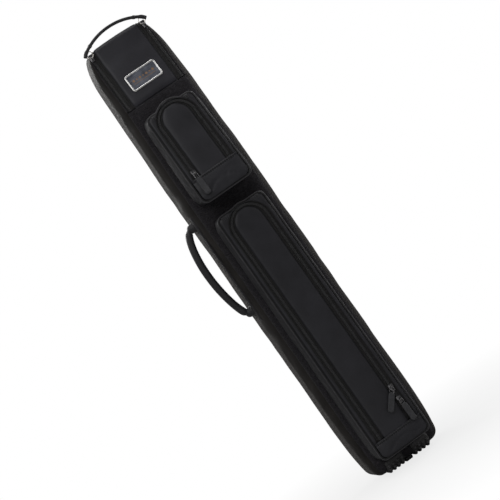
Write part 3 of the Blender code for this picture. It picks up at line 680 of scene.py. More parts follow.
# ---------------------------------------------------------------- body panels
def gusset_points():
    """The right side panel from its front seam round the side to its back seam."""
    turn = np.linspace(0, 1, 9)[:-1] * math.pi / 2
    low = BASE_Z + BASE_ROUND * (1 - np.cos(turn))
    middle = np.arange(BASE_Z + BASE_ROUND, SHOULDER_Z, BELT_STEP)
    end = math.acos(1 - (SHOULDER_HALF - SEAM_END_X) / SHOULDER_IN)
    high = SHOULDER_Z + (TOP_Z - SHOULDER_Z) * np.sin(np.linspace(0, end, 16))
    z = np.concatenate([low, middle, high])
    half, front, back, radius = (value[:, None] for value in section(z))
    u = np.linspace(0, 1, 45)[None, :]
    arc = radius * (math.pi / 2 - SEAM_TURN)
    side = back - front - 2 * radius
    run = u * (2 * arc + side)
    first = run < arc
    last = run > arc + side
    angle = np.where(first, SEAM_TURN + run / radius, math.pi / 2)
    angle = np.where(last, math.pi / 2 + (run - arc - side) / radius, angle)
    centre_y = np.where(first, front + radius, np.where(last, back - radius, front + radius + run - arc))
    x = half - radius + radius * np.sin(angle)
    y = np.where(first | last, centre_y - radius * np.cos(angle), centre_y)
    points = np.stack([x, y, np.broadcast_to(z[:, None], x.shape)], axis=-1)
    return points, u, z


def make_gussets():
    points, u, z = gusset_points()
    height = z[:, None]
    crown = 1 - np.abs(2 * u - 1) ** 7
    ends = ease((height - BASE_Z) / 0.05) * ease((TOP_Z - height) / 0.05)
    for side, sign in (("left", -1), ("right", 1)):
        body = points * np.array([sign, 1, 1])
        slow = ripple(body, (0.05, 0.030, 0.085), 3.0 + sign)
        quick = ripple(body, (0.03, 0.016, 0.022), 9.0 + sign)
        push = (PADDING * crown - 0.0014) * (0.35 + 0.65 * ends)
        push = push + crown * ends * (0.0005 * slow + 0.0002 * quick)
        if sign < 0:
            push = push + handle_strain(height, u) * crown
        puffed = points + grid_normals(points) * push[..., None]
        puffed = puffed * np.array([sign, 1, 1])
        skin = sheet(f"{side}_side_skin", puffed, SIDE, SIDE_THICK, LINING, sign < 0, smooth=True)
        place(skin, "case", "side_softshell", f"{side}_gusset")
        pad(skin, grid_border(*puffed.shape[:2]))
        edge = puffed[:, -1] + np.array([0.0, 0.0004, 0.0])
        # The back piping is real; its paler leather paints a highlight along the back edge.
        cord(f"{side}_back_piping", edge, (sign * 0.5, 1.0, 0.0), circle(0.0019, 8), PIPING_PAINTED_HIGHLIGHT,
             "case", "black_leather")
        seam_line = puffed[:, 0] + np.array([0.0, 0.0006, 0.0])
        cord(f"{side}_front_welt", seam_line, (0.0, -1.0, 0.0), circle(0.0009, 6), TAPE, "case", "zip_tape")


PUCKER_NEAR = 0.012
PUCKER_FAR = 0.034
PUCKER_DEPTH = 0.0016


def handle_strain(height, u):
    """The puckers that the handle pulls into the side above and below its patch."""
    patch_low, patch_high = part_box("handle_patch")[0].z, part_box("handle_patch")[1].z
    pull = 0
    for away in (height - patch_high, patch_low - height):
        pull = pull + bump_at(away, PUCKER_NEAR, 0.010) - 0.8 * bump_at(away, PUCKER_FAR, 0.009)
    return PUCKER_DEPTH * pull * bump_at(u, 0.35, 0.30)


def belt_rows():
    """The belt's profile: from the lid's back edge over the top, down the back, under and up the front."""
    low, back_turn, front_turn = BASE_Z + BASE_ROUND, BACK_Y - BASE_ROUND, FRONT_Y + BASE_ROUND
    top_turn = TOP_Z - TOP_EDGE
    front_z = np.append(np.arange(low + 0.006, SEAM_Z - 0.003, BELT_STEP), SEAM_Z - 0.0006)
    edge = turned_rows(BACK_Y - TOP_EDGE, top_turn, TOP_EDGE, 0)
    return np.concatenate([
        straight_rows([LID_BACK_Y + 0.0006], TOP_Z, 0.0, 1.0),
        edge[edge[:, 0] > LID_BACK_Y + 0.0012],
        straight_rows(BACK_Y, np.arange(top_turn - 0.006, low, -BELT_STEP), 1.0, 0.0),
        turned_rows(back_turn, low, BASE_ROUND, 90),
        straight_rows(np.linspace(back_turn, front_turn, 9)[1:-1], BASE_Z, 0.0, -1.0),
        turned_rows(front_turn, low, BASE_ROUND, 180),
        straight_rows(FRONT_Y, front_z, -1.0, 0.0),
    ])


def belt_anchors(rows, t):
    """The belt's seams, its two ends and the stretches that the pockets and the base hold flat."""
    index = np.arange(len(rows) * len(t)).reshape(len(rows), len(t))
    upper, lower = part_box("upper_pocket_front"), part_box("lower_pocket_front")
    covered = ((rows[:, 1] < upper[1].z) & (rows[:, 1] > upper[0].z - 0.04)) | (rows[:, 1] < lower[1].z)
    held = (rows[:, 2] < 0.5) & (covered | (rows[:, 1] > SEAM_Z - 0.012))
    return np.union1d(grid_border(len(rows), len(t)), index[held])


CHANNEL_DEPTH = 0.0024
CHANNEL_WIDTH = 0.0045
CHANNEL_REACH = 0.88
BACK_CHANNELS = np.linspace(BASE_Z + 0.10, TOP_Z - 0.10, 7)


def make_belt():
    """Front, base and back in one run of woven cloth, padded and quilted softly."""
    rows = belt_rows()
    reach = seam_x(rows[:, 1])
    t = np.linspace(-1, 1, 49)
    t = np.sign(t) * (1 - (1 - np.abs(t)) ** 1.15)
    x = t[None, :] * reach[:, None]
    y, z, ny, nz = (rows[:, i][:, None] + 0 * x for i in range(4))
    points, normals = body_surface(x, y, z, ny, nz)
    edge = 1 - np.abs(t)[None, :] ** 10
    on_front = ny < -0.5
    on_back = ny > 0.5
    swell = np.where(on_front, 0.0012, np.where(on_back, 0.0030, 0.0006)) * edge
    swell = swell + edge * 0.0008 * ripple(points, (0.045, 0.05, 0.060), 21.0)
    for level in BACK_CHANNELS:
        channel = CHANNEL_DEPTH * bump_at(z, level, CHANNEL_WIDTH)
        swell = swell - channel * on_back * (np.abs(t)[None, :] < CHANNEL_REACH)
    swell = swell * ease((BASE_ROUND + np.abs(z - BASE_Z)) / 0.03)
    swell = swell - 0.0010 * bump_at(z, SEAM_Z, 0.003) * on_front
    points = points + normals * swell[..., None]
    belt = sheet("body_belt", points, CLOTH, BELT_THICK, LINING, smooth=True)
    place(belt, "case", "black_fabric", "front_panel", "back_panel", "base_cap")
    pad(belt, belt_anchors(rows, t))
    back_rows = np.flatnonzero(rows[:, 2] > 0.9)
    lines = {}
    for side, share in (("left", -0.90), ("right", 0.90)):
        column = int(np.argmin(np.abs(t - share)))
        lines[f"back_stitch_{side}"] = points[back_rows, column] + np.array([0.0, 0.0003, 0.0])
    for number, level in enumerate(BACK_CHANNELS):
        row = int(np.argmin(np.abs(rows[:, 1] - level) + (rows[:, 2] < 0.9)))
        lines[f"back_channel_stitch_{number + 1}"] = points[row, 3:-3] + np.array([0.0, 0.0002, 0.0])
    for name, line in lines.items():
        place(stitches(name, line, (0, 1, 0)), "case", "black_fabric")


# ---------------------------------------------------------------- lid
def lid_edge_x(rows):
    """The outer edge of the lid's outer zip tape, tucked just under the side panel."""
    z = rows[:, 1]
    return np.where(z > LID_SHOULDER_Z, SEAM_END_X, seam_x(np.minimum(z, LID_SHOULDER_Z))) + 0.0006


LID_BEND = ("flap", "flap_top", (0.0, FOLD_Y - 0.006, TOP_Z), (0.0, FOLD_Y + 0.006, TOP_Z))


def make_lid_leather():
    rows = lid_profile()
    t = np.linspace(-1, 1, 41)
    t = np.sign(t) * (1 - (1 - np.abs(t)) ** 1.3)
    x = np.repeat((t * STRIP_HALF)[None, :], len(rows), axis=0)
    y, z, ny, nz = (rows[:, i][:, None] + 0 * x for i in range(4))
    points, normals = body_surface(x, y, z, ny, nz)
    along = np.linspace(0, 1, len(rows))[:, None]
    roll = np.abs(t)[None, :] ** 22
    swell = 0.0014 * (1 - t[None, :] ** 2) + 0.0009 - 0.0026 * roll
    swell = swell - 0.0016 * bump_at(z, SEAM_Z, 0.004) * (ny < -0.5)
    swell = swell + 0.0007 * ripple(points, (0.06, 0.04, 0.035), 5.0) * (1 - roll)
    swell = swell - 0.0008 * bump_at(z, TOP_Z - 0.030, 0.010) * (ny < -0.5) * (1 - roll)
    points = points + normals * (swell * ease((1 - along) / 0.02))[..., None]
    skin = sheet("lid_leather_skin", points, LID_LEATHER, LID_THICK, LINING, smooth=True)
    place(skin, LID_BEND, "black_leather", "flap_panel", "flap_top")


TAPE_COLUMNS = 17
TAPE_RIBS = 4
COIL_GAP = 0.0003
COIL_RADIUS = 0.00125
COIL_OUT = 0.00095


def tape_depth(share):
    """The sag of a zip tape and the long ribs woven into it, from one edge (0) to the other (1)."""
    return 0.0004 * np.sin(math.pi * share) + 0.00022 * np.cos(2 * math.pi * TAPE_RIBS * share)


def lid_tape(name, x_in, x_out, sign, rows):
    """A flat run of tape between two x lines along the lid's profile."""
    columns = []
    for share in np.linspace(0, 1, TAPE_COLUMNS):
        points, normals = along_lid(x_in + (x_out - x_in) * share, rows)
        columns.append(points - normals * (TAPE_THICK + tape_depth(share)))
    points = np.stack(columns, axis=1) * np.array([sign, 1, 1])
    return sheet(name, points, TAPE, TAPE_THICK, flip=sign < 0)


def chain(name, points, ups):
    """Half a coil zip: a bead that swells and thins once for every turn of the coil."""
    line = resample(np.concatenate([points, np.broadcast_to(ups, points.shape)], axis=1), CHAIN_PITCH / 4)
    swell = 0.80 + 0.20 * np.cos(math.pi / 2 * np.arange(len(line)))
    return bar(name, line[:, :3], line[:, 3:], circle(COIL_RADIUS, 7, 0.75), CHAIN, swell=swell)


def make_lid_zips():
    rows = lid_profile(90, 12, 24)
    outer_edge = lid_edge_x(rows)
    coil = np.minimum(COIL_X, outer_edge - 0.0016)
    for side, sign in (("left", -1), ("right", 1)):
        mirror = np.array([sign, 1, 1])
        halves = (
            ("inner", LID_BEND, f"flap_zip_{side}", (STRIP_HALF - 0.0016, coil - COIL_GAP), coil - COIL_OUT),
            ("outer", "case", f"body_zip_{side}", (coil + COIL_GAP, outer_edge), coil + COIL_OUT),
        )
        for part, rider, node, edges, bead_x in halves:
            tape = lid_tape(f"lid_{side}_{part}_tape", *edges, sign, rows)
            place(tape, rider, "zip_tape", node)
            points, normals = along_lid(bead_x, rows)
            half = chain(f"lid_{side}_{part}_chain", (points + normals * 0.0001) * mirror, normals)
            place(half, rider, "zip_tape")
        cords = (
            # The edge seam cord is painted shadow under the lid leather's edge; the fold cord is real cloth.
            ("edge_seam", STRIP_HALF + 0.0003, 0.0006, circle(0.0010, 8, 0.8), SEAM_SHADE, LID_BEND),
            ("fold", (coil + outer_edge) / 2 + 0.0016, 0.0002, circle(0.0012, 8, 0.6), CLOTH, "case"),
        )
        for part, x, depth, profile, material, rider in cords:
            points, normals = along_lid(x, rows)
            line = (points - normals * depth) * mirror
            cord(f"lid_{side}_{part}", line, normals, profile, material, rider, "black_fabric")


def make_lid_hinge():
    """A cloth web behind the lid's sewn edge, across the lid's hinge line."""
    z = SEAM_Z + np.linspace(-WEB_REACH, WEB_REACH, 17)
    x = np.linspace(-STRIP_HALF + 0.001, STRIP_HALF - 0.001, 25)
    grid_x, grid_z = np.meshgrid(x, z)
    y = front_y(grid_z) + 0.0042 - 0.0026 * bump_at(grid_z, SEAM_Z, 0.006)
    web = sheet("lid_hinge_web", np.stack([grid_x, y, grid_z], axis=-1), LINING, WEB_THICK)
    bend = ("case", "flap", (0.0, FRONT_Y, SEAM_Z - BEND_REACH), (0.0, FRONT_Y, SEAM_Z + BEND_REACH))
    place(web, bend, "black_fabric")


class Face:
    """A flat working plane: x to the right, s up the plane and depth into the case."""

    def __init__(self, origin, up):
        self.origin = np.array(origin, float)
        self.up = unit(up)
        self.right = np.array([1.0, 0.0, 0.0])
        self.inward = np.cross(self.up, self.right)

    def at(self, x, s, depth=0.0):
        x, s, depth = np.broadcast_arrays(*(np.asarray(value, float) for value in (x, s, depth)))
        offset = x[..., None] * self.right + s[..., None] * self.up + depth[..., None] * self.inward
        return self.origin + offset

    def height(self, z):
        """The s of a world height on the plane."""
        return (z - self.origin[2]) / self.up[2]


def polygon_slab(name, face, outline, low, high, material):
    """A flat piece on a plane from an (x, s) outline, between two depths."""
    count = len(outline)
    verts = np.concatenate([face.at(*outline.T, depth) for depth in (low, high)])
    faces = grid_faces(2, count, wrap=True).tolist()
    faces.extend([list(range(count))[::-1], list(range(count, 2 * count))])
    obj = make_object(name, verts, faces, material, smooth=False)
    fix_normals(obj)
    obj.data.shade_smooth()
    obj.data.set_sharp_from_angle(angle=math.radians(40))
    return obj


def fix_normals(obj, outward=None):
    """Turns the faces consistently outward; an open sheet also needs the way that its outer side looks."""
    shape = bmesh.new()
    shape.from_mesh(obj.data)
    bmesh.ops.recalc_face_normals(shape, faces=shape.faces)
    if outward is not None:
        facing = sum(face.normal.dot(Vector(outward)) * face.calc_area() for face in shape.faces)
        if facing < 0:
            bmesh.ops.reverse_faces(shape, faces=shape.faces)
    shape.to_mesh(obj.data)
    shape.free()


def rounded_outline(x0, x1, s0, s1, radius):
    """A rounded rectangle's (x, s) points, anticlockwise from its right side."""
    corners = ((x1 - radius, s1 - radius, 0), (x0 + radius, s1 - radius, 90),
               (x0 + radius, s0 + radius, 180), (x1 - radius, s0 + radius, 270))
    arcs = []
    for x, s, start in corners:
        turn = np.radians(start + np.linspace(0, 90, 7))
        arcs.append(np.stack([x + radius * np.cos(turn), s + radius * np.sin(turn)], axis=1))
    return np.concatenate(arcs)


# The rim's cross-section as (inset, depth), from its outer foot over the crown to its inner foot
RIM_SECTION = ((0.0, -0.0012), (0.0, -0.0030), (0.0004, -0.0036), (0.0009, -0.0038), (0.0015, -0.00385),
               (0.0021, -0.0038), (0.0026, -0.0036), (0.0030, -0.0030), (0.0030, -0.0012))
RIM_CORNER = 0.0044
INLAY_INSET = 0.0029
INLAY_CORNER = 0.0012
INLAY_FRONT = -0.0024
INLAY_BACK = -0.0012
PRINT_FRONT = -0.0026
PRINT_BACK = -0.0023
DIAMOND_PITCH = 0.0064
DIAMOND_RISE = 0.0012
DIAMOND_SIZES = (0.0026, 0.0017)
PRINT_LINE = np.array([(-0.021, -0.0046), (0.021, -0.0046), (0.021, -0.0039), (-0.021, -0.0039)])


def make_nameplate():
    """A plated rim round a brushed inlay that carries a row of diamonds over a line."""
    face = Face(JOINTS["flap_hinge"]["pos_m"], LID_UP)
    low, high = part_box("nameplate_frame")
    s0, s1, half_x = face.height(low.z), face.height(high.z), high.x
    middle = np.array([0.0, (s0 + s1) / 2])

    def inset_outline(inset, radius):
        return rounded_outline(-half_x + inset, half_x - inset, s0 + inset, s1 - inset, radius)

    rings = np.stack([face.at(*inset_outline(inset, RIM_CORNER - inset * 0.7).T, depth)
                      for inset, depth in RIM_SECTION])
    rim = make_object("nameplate_rim", rings, grid_faces(*rings.shape[:2], wrap=True), RIM)
    fix_normals(rim)
    place(rim, "flap", "nickel", "nameplate_frame")
    inner = inset_outline(INLAY_INSET, INLAY_CORNER)
    inlay = polygon_slab("nameplate_inlay_plate", face, inner, INLAY_FRONT, INLAY_BACK, PLATE)
    place(inlay, "flap", "gunmetal", "nameplate_inlay")
    marks = []
    for i in range(7):
        size = DIAMOND_SIZES[i % 2]
        centre = middle + np.array([(i - 3) * DIAMOND_PITCH, DIAMOND_RISE])
        diamond = centre + np.array([(size, 0), (0, size), (-size, 0), (0, -size)])
        marks.append(polygon_slab(f"mark_{i}", face, diamond, PRINT_FRONT, PRINT_BACK, COPPER))
    marks.append(polygon_slab("mark_line", face, middle + PRINT_LINE, PRINT_FRONT, PRINT_BACK, COPPER))
    place(join("nameplate_marks", marks), "flap", "gunmetal")


# ---------------------------------------------------------------- carried-over hardware
def finish_cad(name, material, edge=None):
    """Gives a CAD piece its material, and rounds its edges or smooths it all over."""
    obj = frame["nodes"][name]
    obj.data.materials.clear()
    obj.data.materials.append(material)
    obj.data.shade_smooth()
    weld = obj.modifiers.new("weld", "WELD")
    weld.merge_threshold = 0.00001
    if edge is None:
        soften(obj)
        return
    rounding = obj.modifiers.new("soft_edges", "BEVEL")
    rounding.width = edge
    rounding.segments = 3
    rounding.limit_method = "ANGLE"
    rounding.angle_limit = math.radians(30)


def finish_hardware():
    for name in ("flap_slider_left", "flap_slider_right", "upper_slider", "lower_a_slider", "lower_b_slider"):
        finish_cad(name, GUNMETAL, edge=0.0004)
    for name in ("upper_pull_link", "lower_a_pull_link", "lower_b_pull_link"):
        finish_cad(name, GUNMETAL)
    for name in ("strap_ring_left", "strap_ring_right"):
        finish_cad(name, NICKEL)
    finish_cad("tube_collar", LINING, edge=0.0012)
    finish_cad("tube_base_pad", LINING, edge=0.0010)
    finish_cad("base_rib", FOOT_RUBBER, edge=0.0006)


# ---------------------------------------------------------------- pull strap
STRAP_TAIL = 0.0075


def strap_path(pivot, lean):
    """The strap's middle line: an arch over the two rings with a tail turned out beyond each."""
    foot = (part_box("strap_ring_right")[1].z - pivot[2]) / lean[2]
    crest = (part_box("pull_strap")[1].z - pivot[2]) / lean[2] - 0.0022
    across = np.array([1.0, 0.0, 0.0])
    t = np.linspace(-1, 1, 61)
    arch = foot + (crest - foot) * (1 - np.abs(t) ** 2.1)
    path = pivot + across * (t * (COIL_X + 0.0015))[:, None] + lean * arch[:, None]
    tail = np.array([0.33, 0.66, 1.0])[:, None]
    drop = lean * (0.95 * STRAP_TAIL) * tail**1.3
    left = path[0] - across * STRAP_TAIL * tail - drop
    right = path[-1] + across * STRAP_TAIL * tail - drop
    return resample(np.concatenate([left[::-1], path, right]), 0.0018)


def make_strap():
    """The thin pull strap with a keeper round each end."""
    pivot = np.array(JOINTS["strap_swing"]["pos_m"])
    low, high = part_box("strap_ring_right")
    lean = unit([0.0, (low.y + high.y) / 2 - pivot[1], (low.z + high.z) / 2 - pivot[2]])
    path = strap_path(pivot, lean)
    profile = np.stack(soft_box(0.0030, 0.0027, 16, 0.6, 0.6), axis=1)
    position = np.abs(np.linspace(-1, 1, len(path)))
    thick = 1.0 + 0.22 * ease((position - 0.80) / 0.06) - 0.10 * ease((position - 0.98) / 0.02)
    strap = bar("strap_band", path, lean, profile, HANDLE_LEATHER, swell=thick)
    place(strap, "strap", "black_leather", "pull_strap")
    wraps = []
    for sign in (-1, 1):
        near = path[np.abs(path[:, 0] - sign * (COIL_X - 0.0090)) < 0.0026]
        wraps.append(bar(f"strap_wrap_{sign}", resample(near, 0.0010), lean, profile * 1.22, HANDLE_LEATHER))
    place(join("strap_wraps", wraps), "strap", "black_leather")


# ---------------------------------------------------------------- pockets
def arch_line(half, rise, low, spring, legs=40, turns=40):
    """Up the left leg, over the arch and down the right leg: x, s and outward normals."""
    leg = np.linspace(low, spring, legs, endpoint=False)
    turn = np.linspace(math.pi, 0, turns + 1)
    x = np.concatenate([-half + 0 * leg, half * np.cos(turn), half + 0 * leg])
    s = np.concatenate([leg, spring + rise * np.sin(turn), leg[::-1]])
    nx = np.concatenate([-1 + 0 * leg, np.cos(turn) / half, 1 + 0 * leg])
    ns = np.concatenate([0 * leg, np.sin(turn) / rise, 0 * leg])
    length = np.hypot(nx, ns)
    return x, s, nx / length, ns / length


ARCH_HEIGHT = 0.0335
ZIP_WIDTH = 0.0062
RIM_DROP = 0.0035
CREASE_REACH = 0.62
# The face from its turned edge beside the zip out to the rim, as (share of the way, depth)
FACE_ROLL = np.array([(-0.06, 0.0034), (0.0, 0.0012), (0.04, -0.0002), (0.14, -0.0012), (0.3, -0.0018),
                      (0.5, -0.0020), (0.7, -0.0017), (0.86, -0.0010), (0.96, 0.0), (1.0, 0.0006)])


class Pocket:
    """One box pocket: shell, face, band, piping, arched zip and door, laid out on its tilted face."""

    def __init__(self, name, hinge, slide, door_body, bulge, arch_rise):
        self.name = name
        self.face = Face(JOINTS[hinge]["pos_m"], JOINTS[slide]["axis"])
        self.z0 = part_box(f"{name}_base_band")[0].z
        self.z1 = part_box(f"{name}_front")[1].z
        self.band = self.face.height(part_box(f"{name}_front")[0].z)
        self.door_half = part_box(f"{name}_door")[1].x
        self.top = self.face.height(self.z1)
        self.bottom = self.face.height(self.z0)
        self.arch_top = self.top - 0.0030 + arch_rise
        self.spring = self.arch_top - ARCH_HEIGHT
        self.rim_top = self.top - RIM_DROP
        self.zip_half = self.door_half + 0.0085
        self.zip_rise = self.arch_top + 0.0014 - self.spring
        self.door_rise = self.arch_top - self.spring - ZIP_WIDTH
        self.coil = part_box(f"{name}_zip_inner")[1].x
        self.low_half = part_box(f"{name}_base_band")[1].x
        self.bulge = bulge
        self.out = -self.face.inward
        low, high = (tuple(self.face.at(0.0, s)) for s in (-BEND_REACH, BEND_REACH))
        self.bend = ("case", door_body, low, high)

    def half(self, s):
        """Half the face's width at a height up the face."""
        share = (s - self.bottom) / (self.top - self.bottom)
        return mix(self.low_half - 0.0072, self.low_half - 0.0102, share)

    def lift(self, x, s):
        """How far the top edge is pushed up where the arch passes over it."""
        arch = self.spring + self.zip_rise * np.sqrt(np.clip(1 - (x / self.zip_half) ** 2, 0, 1))
        return np.maximum(0.0, arch - self.rim_top) * ease((s - self.top + 0.03) / 0.02)

    def perimeter(self, low, high):
        """A closed loop round the face between two heights, anticlockwise from the bottom left: x, s."""
        corners = ((-1, low, 0.008, 180), (1, low, 0.008, 270), (1, high, 0.0085, 0), (-1, high, 0.0085, 90))
        lines = []
        for side, edge, r, start in corners:
            s = edge - r if edge == high else edge + r
            turn = np.radians(start + np.linspace(0, 90, 9))
            x = side * (self.half(s) - r) + r * np.cos(turn)
            lines.append(np.stack([x, s + r * np.sin(turn)], axis=1))
        loop = np.concatenate([*lines, lines[0][:1]])
        return resample(loop, 0.0032)[:-1]

    def shell_grid(self):
        """Walls from the body out to the face's rim, then over the rim: rows of loops."""
        rim = self.perimeter(self.bottom + RIM_DROP, self.rim_top)
        raised = rim[:, 1] + self.lift(rim[:, 0], rim[:, 1])
        front = self.face.at(rim[:, 0], raised, 0.0006)
        core = np.clip(rim, (-0.030, self.bottom + 0.02), (0.030, self.top - 0.02))
        outward = unit(rim - core)
        direction = outward[:, :1] * self.face.right + outward[:, 1:] * np.array([0.0, 0.0, 1.0])
        lifted = (raised - rim[:, 1])[:, None] * self.face.up
        upward, downward = np.clip(outward[:, 1], 0, 1), np.clip(-outward[:, 1], 0, 1)
        share = np.linspace(0, 1, 15)[:, None]
        swell = self.bulge * np.sin(math.pi * np.minimum(1.0, share * 1.02)) ** 0.8 + 0.0050 * (1 - share)
        push = swell * (1 - 0.55 * upward - 0.85 * downward)
        x, y, z = front.T
        foot = FRONT_Y + 0.0006
        grid = np.stack(np.broadcast_arrays(x, foot + (y - foot) * share, z), axis=-1)
        grid = grid + direction * push[..., None] - lifted * (1 - share**2)[..., None]
        soft = ripple(grid, (0.02, 0.012, 0.035), 31.0 + self.z0)
        return grid + direction * (0.0009 * soft * np.sin(math.pi * share))[..., None], rim, direction

    def build_shell(self):
        grid, rim, direction = self.shell_grid()
        # The walls take the darker leather copy, which is painted shade.
        walls = make_object(f"{self.name}_walls", grid,
                            grid_faces(grid.shape[0], grid.shape[1], wrap=True), WALL_LEATHER_SHADED)
        thicken(walls, WALL_THICK, LINING)
        soften(walls)
        place(walls, "case", "black_leather", f"{self.name}_left_wall", f"{self.name}_right_wall")
        x, s = rim.T
        seam = self.face.at(x, s + self.lift(x, s), -0.0002) + direction * 0.0010
        piping = seam + direction * 0.0016 + self.face.inward * 0.0006
        welt = grid[0] + direction * 0.0012 + np.array([0.0, -0.0006, 0.0])
        toward = np.array([0.0, -1.0, 0.0])
        cords = (
            # The rim seam cord is painted shadow of the groove between face and walls.
            ("rim_seam", seam, self.out, 0.0011, SEAM_SHADE, "black_fabric"),
            # The rim piping takes the paler piping leather, a painted highlight along the rim.
            ("rim_piping", piping, self.out, 0.0012, PIPING_PAINTED_HIGHLIGHT, "black_leather"),
            ("foot_welt", welt, toward, 0.0013, POCKET_LEATHER, "black_leather"),
        )
        for part, line, up, radius, material, slot in cords:
            cord(f"{self.name}_{part}", line, up, circle(radius, 8), material, "case", slot, closed=True)

    def build_face(self):
        """The leather round the arch: from the zip's turned edge out to the rim."""
        x, s, nx, ns = arch_line(self.door_half, self.door_rise, self.band, self.spring)
        width = mix(0.0115, 0.0068, np.clip(ns, 0, 1))
        width = width + 0.0016 * np.clip((self.spring - s) / (self.spring - self.band), 0, 1)
        inner_x, inner_s = x + nx * width, s + ns * width
        outer_x, outer_s = np.copysign(self.half(s), x), s.copy()
        over = ns > 1e-6
        reach_side = (self.half(self.spring) - np.abs(x)) / np.maximum(np.abs(nx), 1e-6)
        reach_top = (self.rim_top + self.lift(x + 0.004 * nx, self.rim_top) - s) / np.maximum(ns, 1e-6)
        blended = (reach_side[over] ** -6 + reach_top[over] ** -6) ** (-1 / 6)
        reach = np.maximum(blended, width[over] + 0.0006)
        outer_x[over] = x[over] + nx[over] * reach
        outer_s[over] = s[over] + ns[over] * reach
        outer_s = np.maximum(outer_s, s)
        share, depth = FACE_ROLL[:, :1], FACE_ROLL[:, 1:]
        across, along = inner_x + (outer_x - inner_x) * share, inner_s + (outer_s - inner_s) * share
        grid = self.face.at(across, along, depth)
        grid = grid - self.face.inward * (0.0005 * ripple(grid, (0.02, 0.02, 0.03), 44.0))[..., None]
        skin = sheet(f"{self.name}_face_skin", grid, POCKET_LEATHER, SKIN_THICK, LINING)
        fix_normals(skin, self.out)
        place(skin, "case", "black_leather", f"{self.name}_front")
        edge = self.face.at(inner_x + nx * 0.0003, inner_s + ns * 0.0003, -0.0002)
        # A near-black cord along the zip's turned edge: painted shadow of that edge.
        cord(f"{self.name}_zip_edge_shadow", edge, self.out, circle(0.0008, 8), SEAM_SHADE, "case", "black_fabric")

    def build_band(self):
        """The band across the foot of the face, with a twin-stitched upper edge."""
        s0 = self.bottom + 0.0030
        height = self.band + 0.0016 - s0
        t = np.linspace(-1, 1, 41)
        fold_rows = height - np.array([0.0066, 0.0056, 0.0050, 0.0044, 0.0036, 0.0024, 0.0012, 0.0004, 0.0])
        marks = np.concatenate([np.linspace(0, fold_rows[0], 9, endpoint=False), fold_rows])[:, None]
        groove = 0.0007 * bump_at(marks, height - 0.0018, 0.0018)
        groove -= 0.0009 * bump_at(marks, height - 0.0050, 0.0008)
        groove[-1] -= 0.0020
        s = s0 + marks
        corner = 0.010 * (1 - np.sqrt(1 - (1 - np.clip(marks / 0.010, 0, 1)) ** 2))
        swell = np.sin(math.pi * np.minimum(1.0, 0.12 + marks / height * 0.8)) ** 0.6
        crown = 0.0030 * (1 - np.abs(t) ** 5) * swell
        grid = self.face.at(t * (self.half(s) - 0.0008 - corner), s, -crown - 0.0010 - groove)
        fold = ripple(grid, (0.035, 0.03, 0.012), 17.0)
        smile = s0 + height * (0.52 - 0.30 * np.minimum(1.0, np.abs(t) / CREASE_REACH) ** 2)
        crease = bump_at(s, smile, 0.0018) * (np.abs(t) < CREASE_REACH)
        sag = 0.0007 * fold * ease((height - marks - 0.006) / 0.01) - 0.0013 * crease
        grid = grid - self.face.inward * sag[..., None]
        band = sheet(f"{self.name}_band_skin", grid, DOOR_LEATHER, WALL_THICK, LINING, smooth=True)
        place(band, "case", "black_leather", f"{self.name}_base_band")
        for index, row_back in enumerate((7, 4)):
            line = grid[-row_back, 2:-2] - self.face.inward * 0.0002
            self.stitched_line(f"{self.name}_band_stitch_{index + 1}", line)

    def stitched_line(self, name, line):
        """Thread over a near-black cord that paints the shadow of a pressed channel."""
        place(stitches(name, line, self.out), "case", "black_leather")
        sunk = line - self.out * 0.0001
        # The channel cord is painted shadow along the stitch line.
        cord(f"{name}_channel", sunk, self.out, circle(0.0006, 6, 0.5), SEAM_SHADE, "case", "black_fabric")

    def build_top_welt(self):
        """A rolled, twin-stitched welt under the top edge, on either side of the arch."""
        reach = 1 - ((self.rim_top - 0.0050 - self.spring) / self.zip_rise) ** 2
        near = self.zip_half * math.sqrt(max(0.0, reach)) + 0.0015
        for side, sign in (("left", -1), ("right", 1)):
            x = sign * np.linspace(near, self.half(self.top) - 0.0070, 12)
            ridge = self.face.at(x, self.rim_top - 0.0012, -0.0008)
            profile = circle(0.0015, 10, 0.8)
            # The welt takes the paler piping leather, a painted highlight along the top edge.
            cord(f"{self.name}_top_welt_{side}", ridge, self.out, profile, PIPING_PAINTED_HIGHLIGHT, "case", "black_leather")
            for index, drop in enumerate((0.0036, 0.0062)):
                line = self.face.at(x, self.rim_top - drop, -0.0019)
                self.stitched_line(f"{self.name}_top_stitch_{side}_{index + 1}", line)

    def build_zip(self):
        """The two zip halves that run round the arch."""
        x, s, nx, ns = arch_line(self.door_half, self.door_rise, self.band + 0.0008, self.spring, 90, 60)
        share = np.linspace(0, 1, TAPE_COLUMNS)[:, None]
        lift = np.clip(ns, 0, 1)
        coil = mix(self.coil - self.door_half, 0.0034, lift)
        outer = mix(0.0135, 0.0078, lift)
        halves = (
            ("inner", self.bend, -0.0040, coil - COIL_GAP, coil - COIL_OUT),
            ("outer", "case", coil + COIL_GAP, outer, coil + COIL_OUT),
        )
        for part, rider, near, far, bead in halves:
            reach = near + (far - near) * share
            grid = self.face.at(x + nx * reach, s + ns * reach, 0.0006 + tape_depth(share))
            tape = sheet(f"{self.name}_{part}_tape", grid, TAPE, TAPE_THICK)
            fix_normals(tape, self.out)
            place(tape, rider, "zip_tape", f"{self.name}_zip_{part}")
            line = self.face.at(x + nx * bead, s + ns * bead, -0.0002)
            place(chain(f"{self.name}_{part}_chain", line, self.out), rider, "zip_tape")

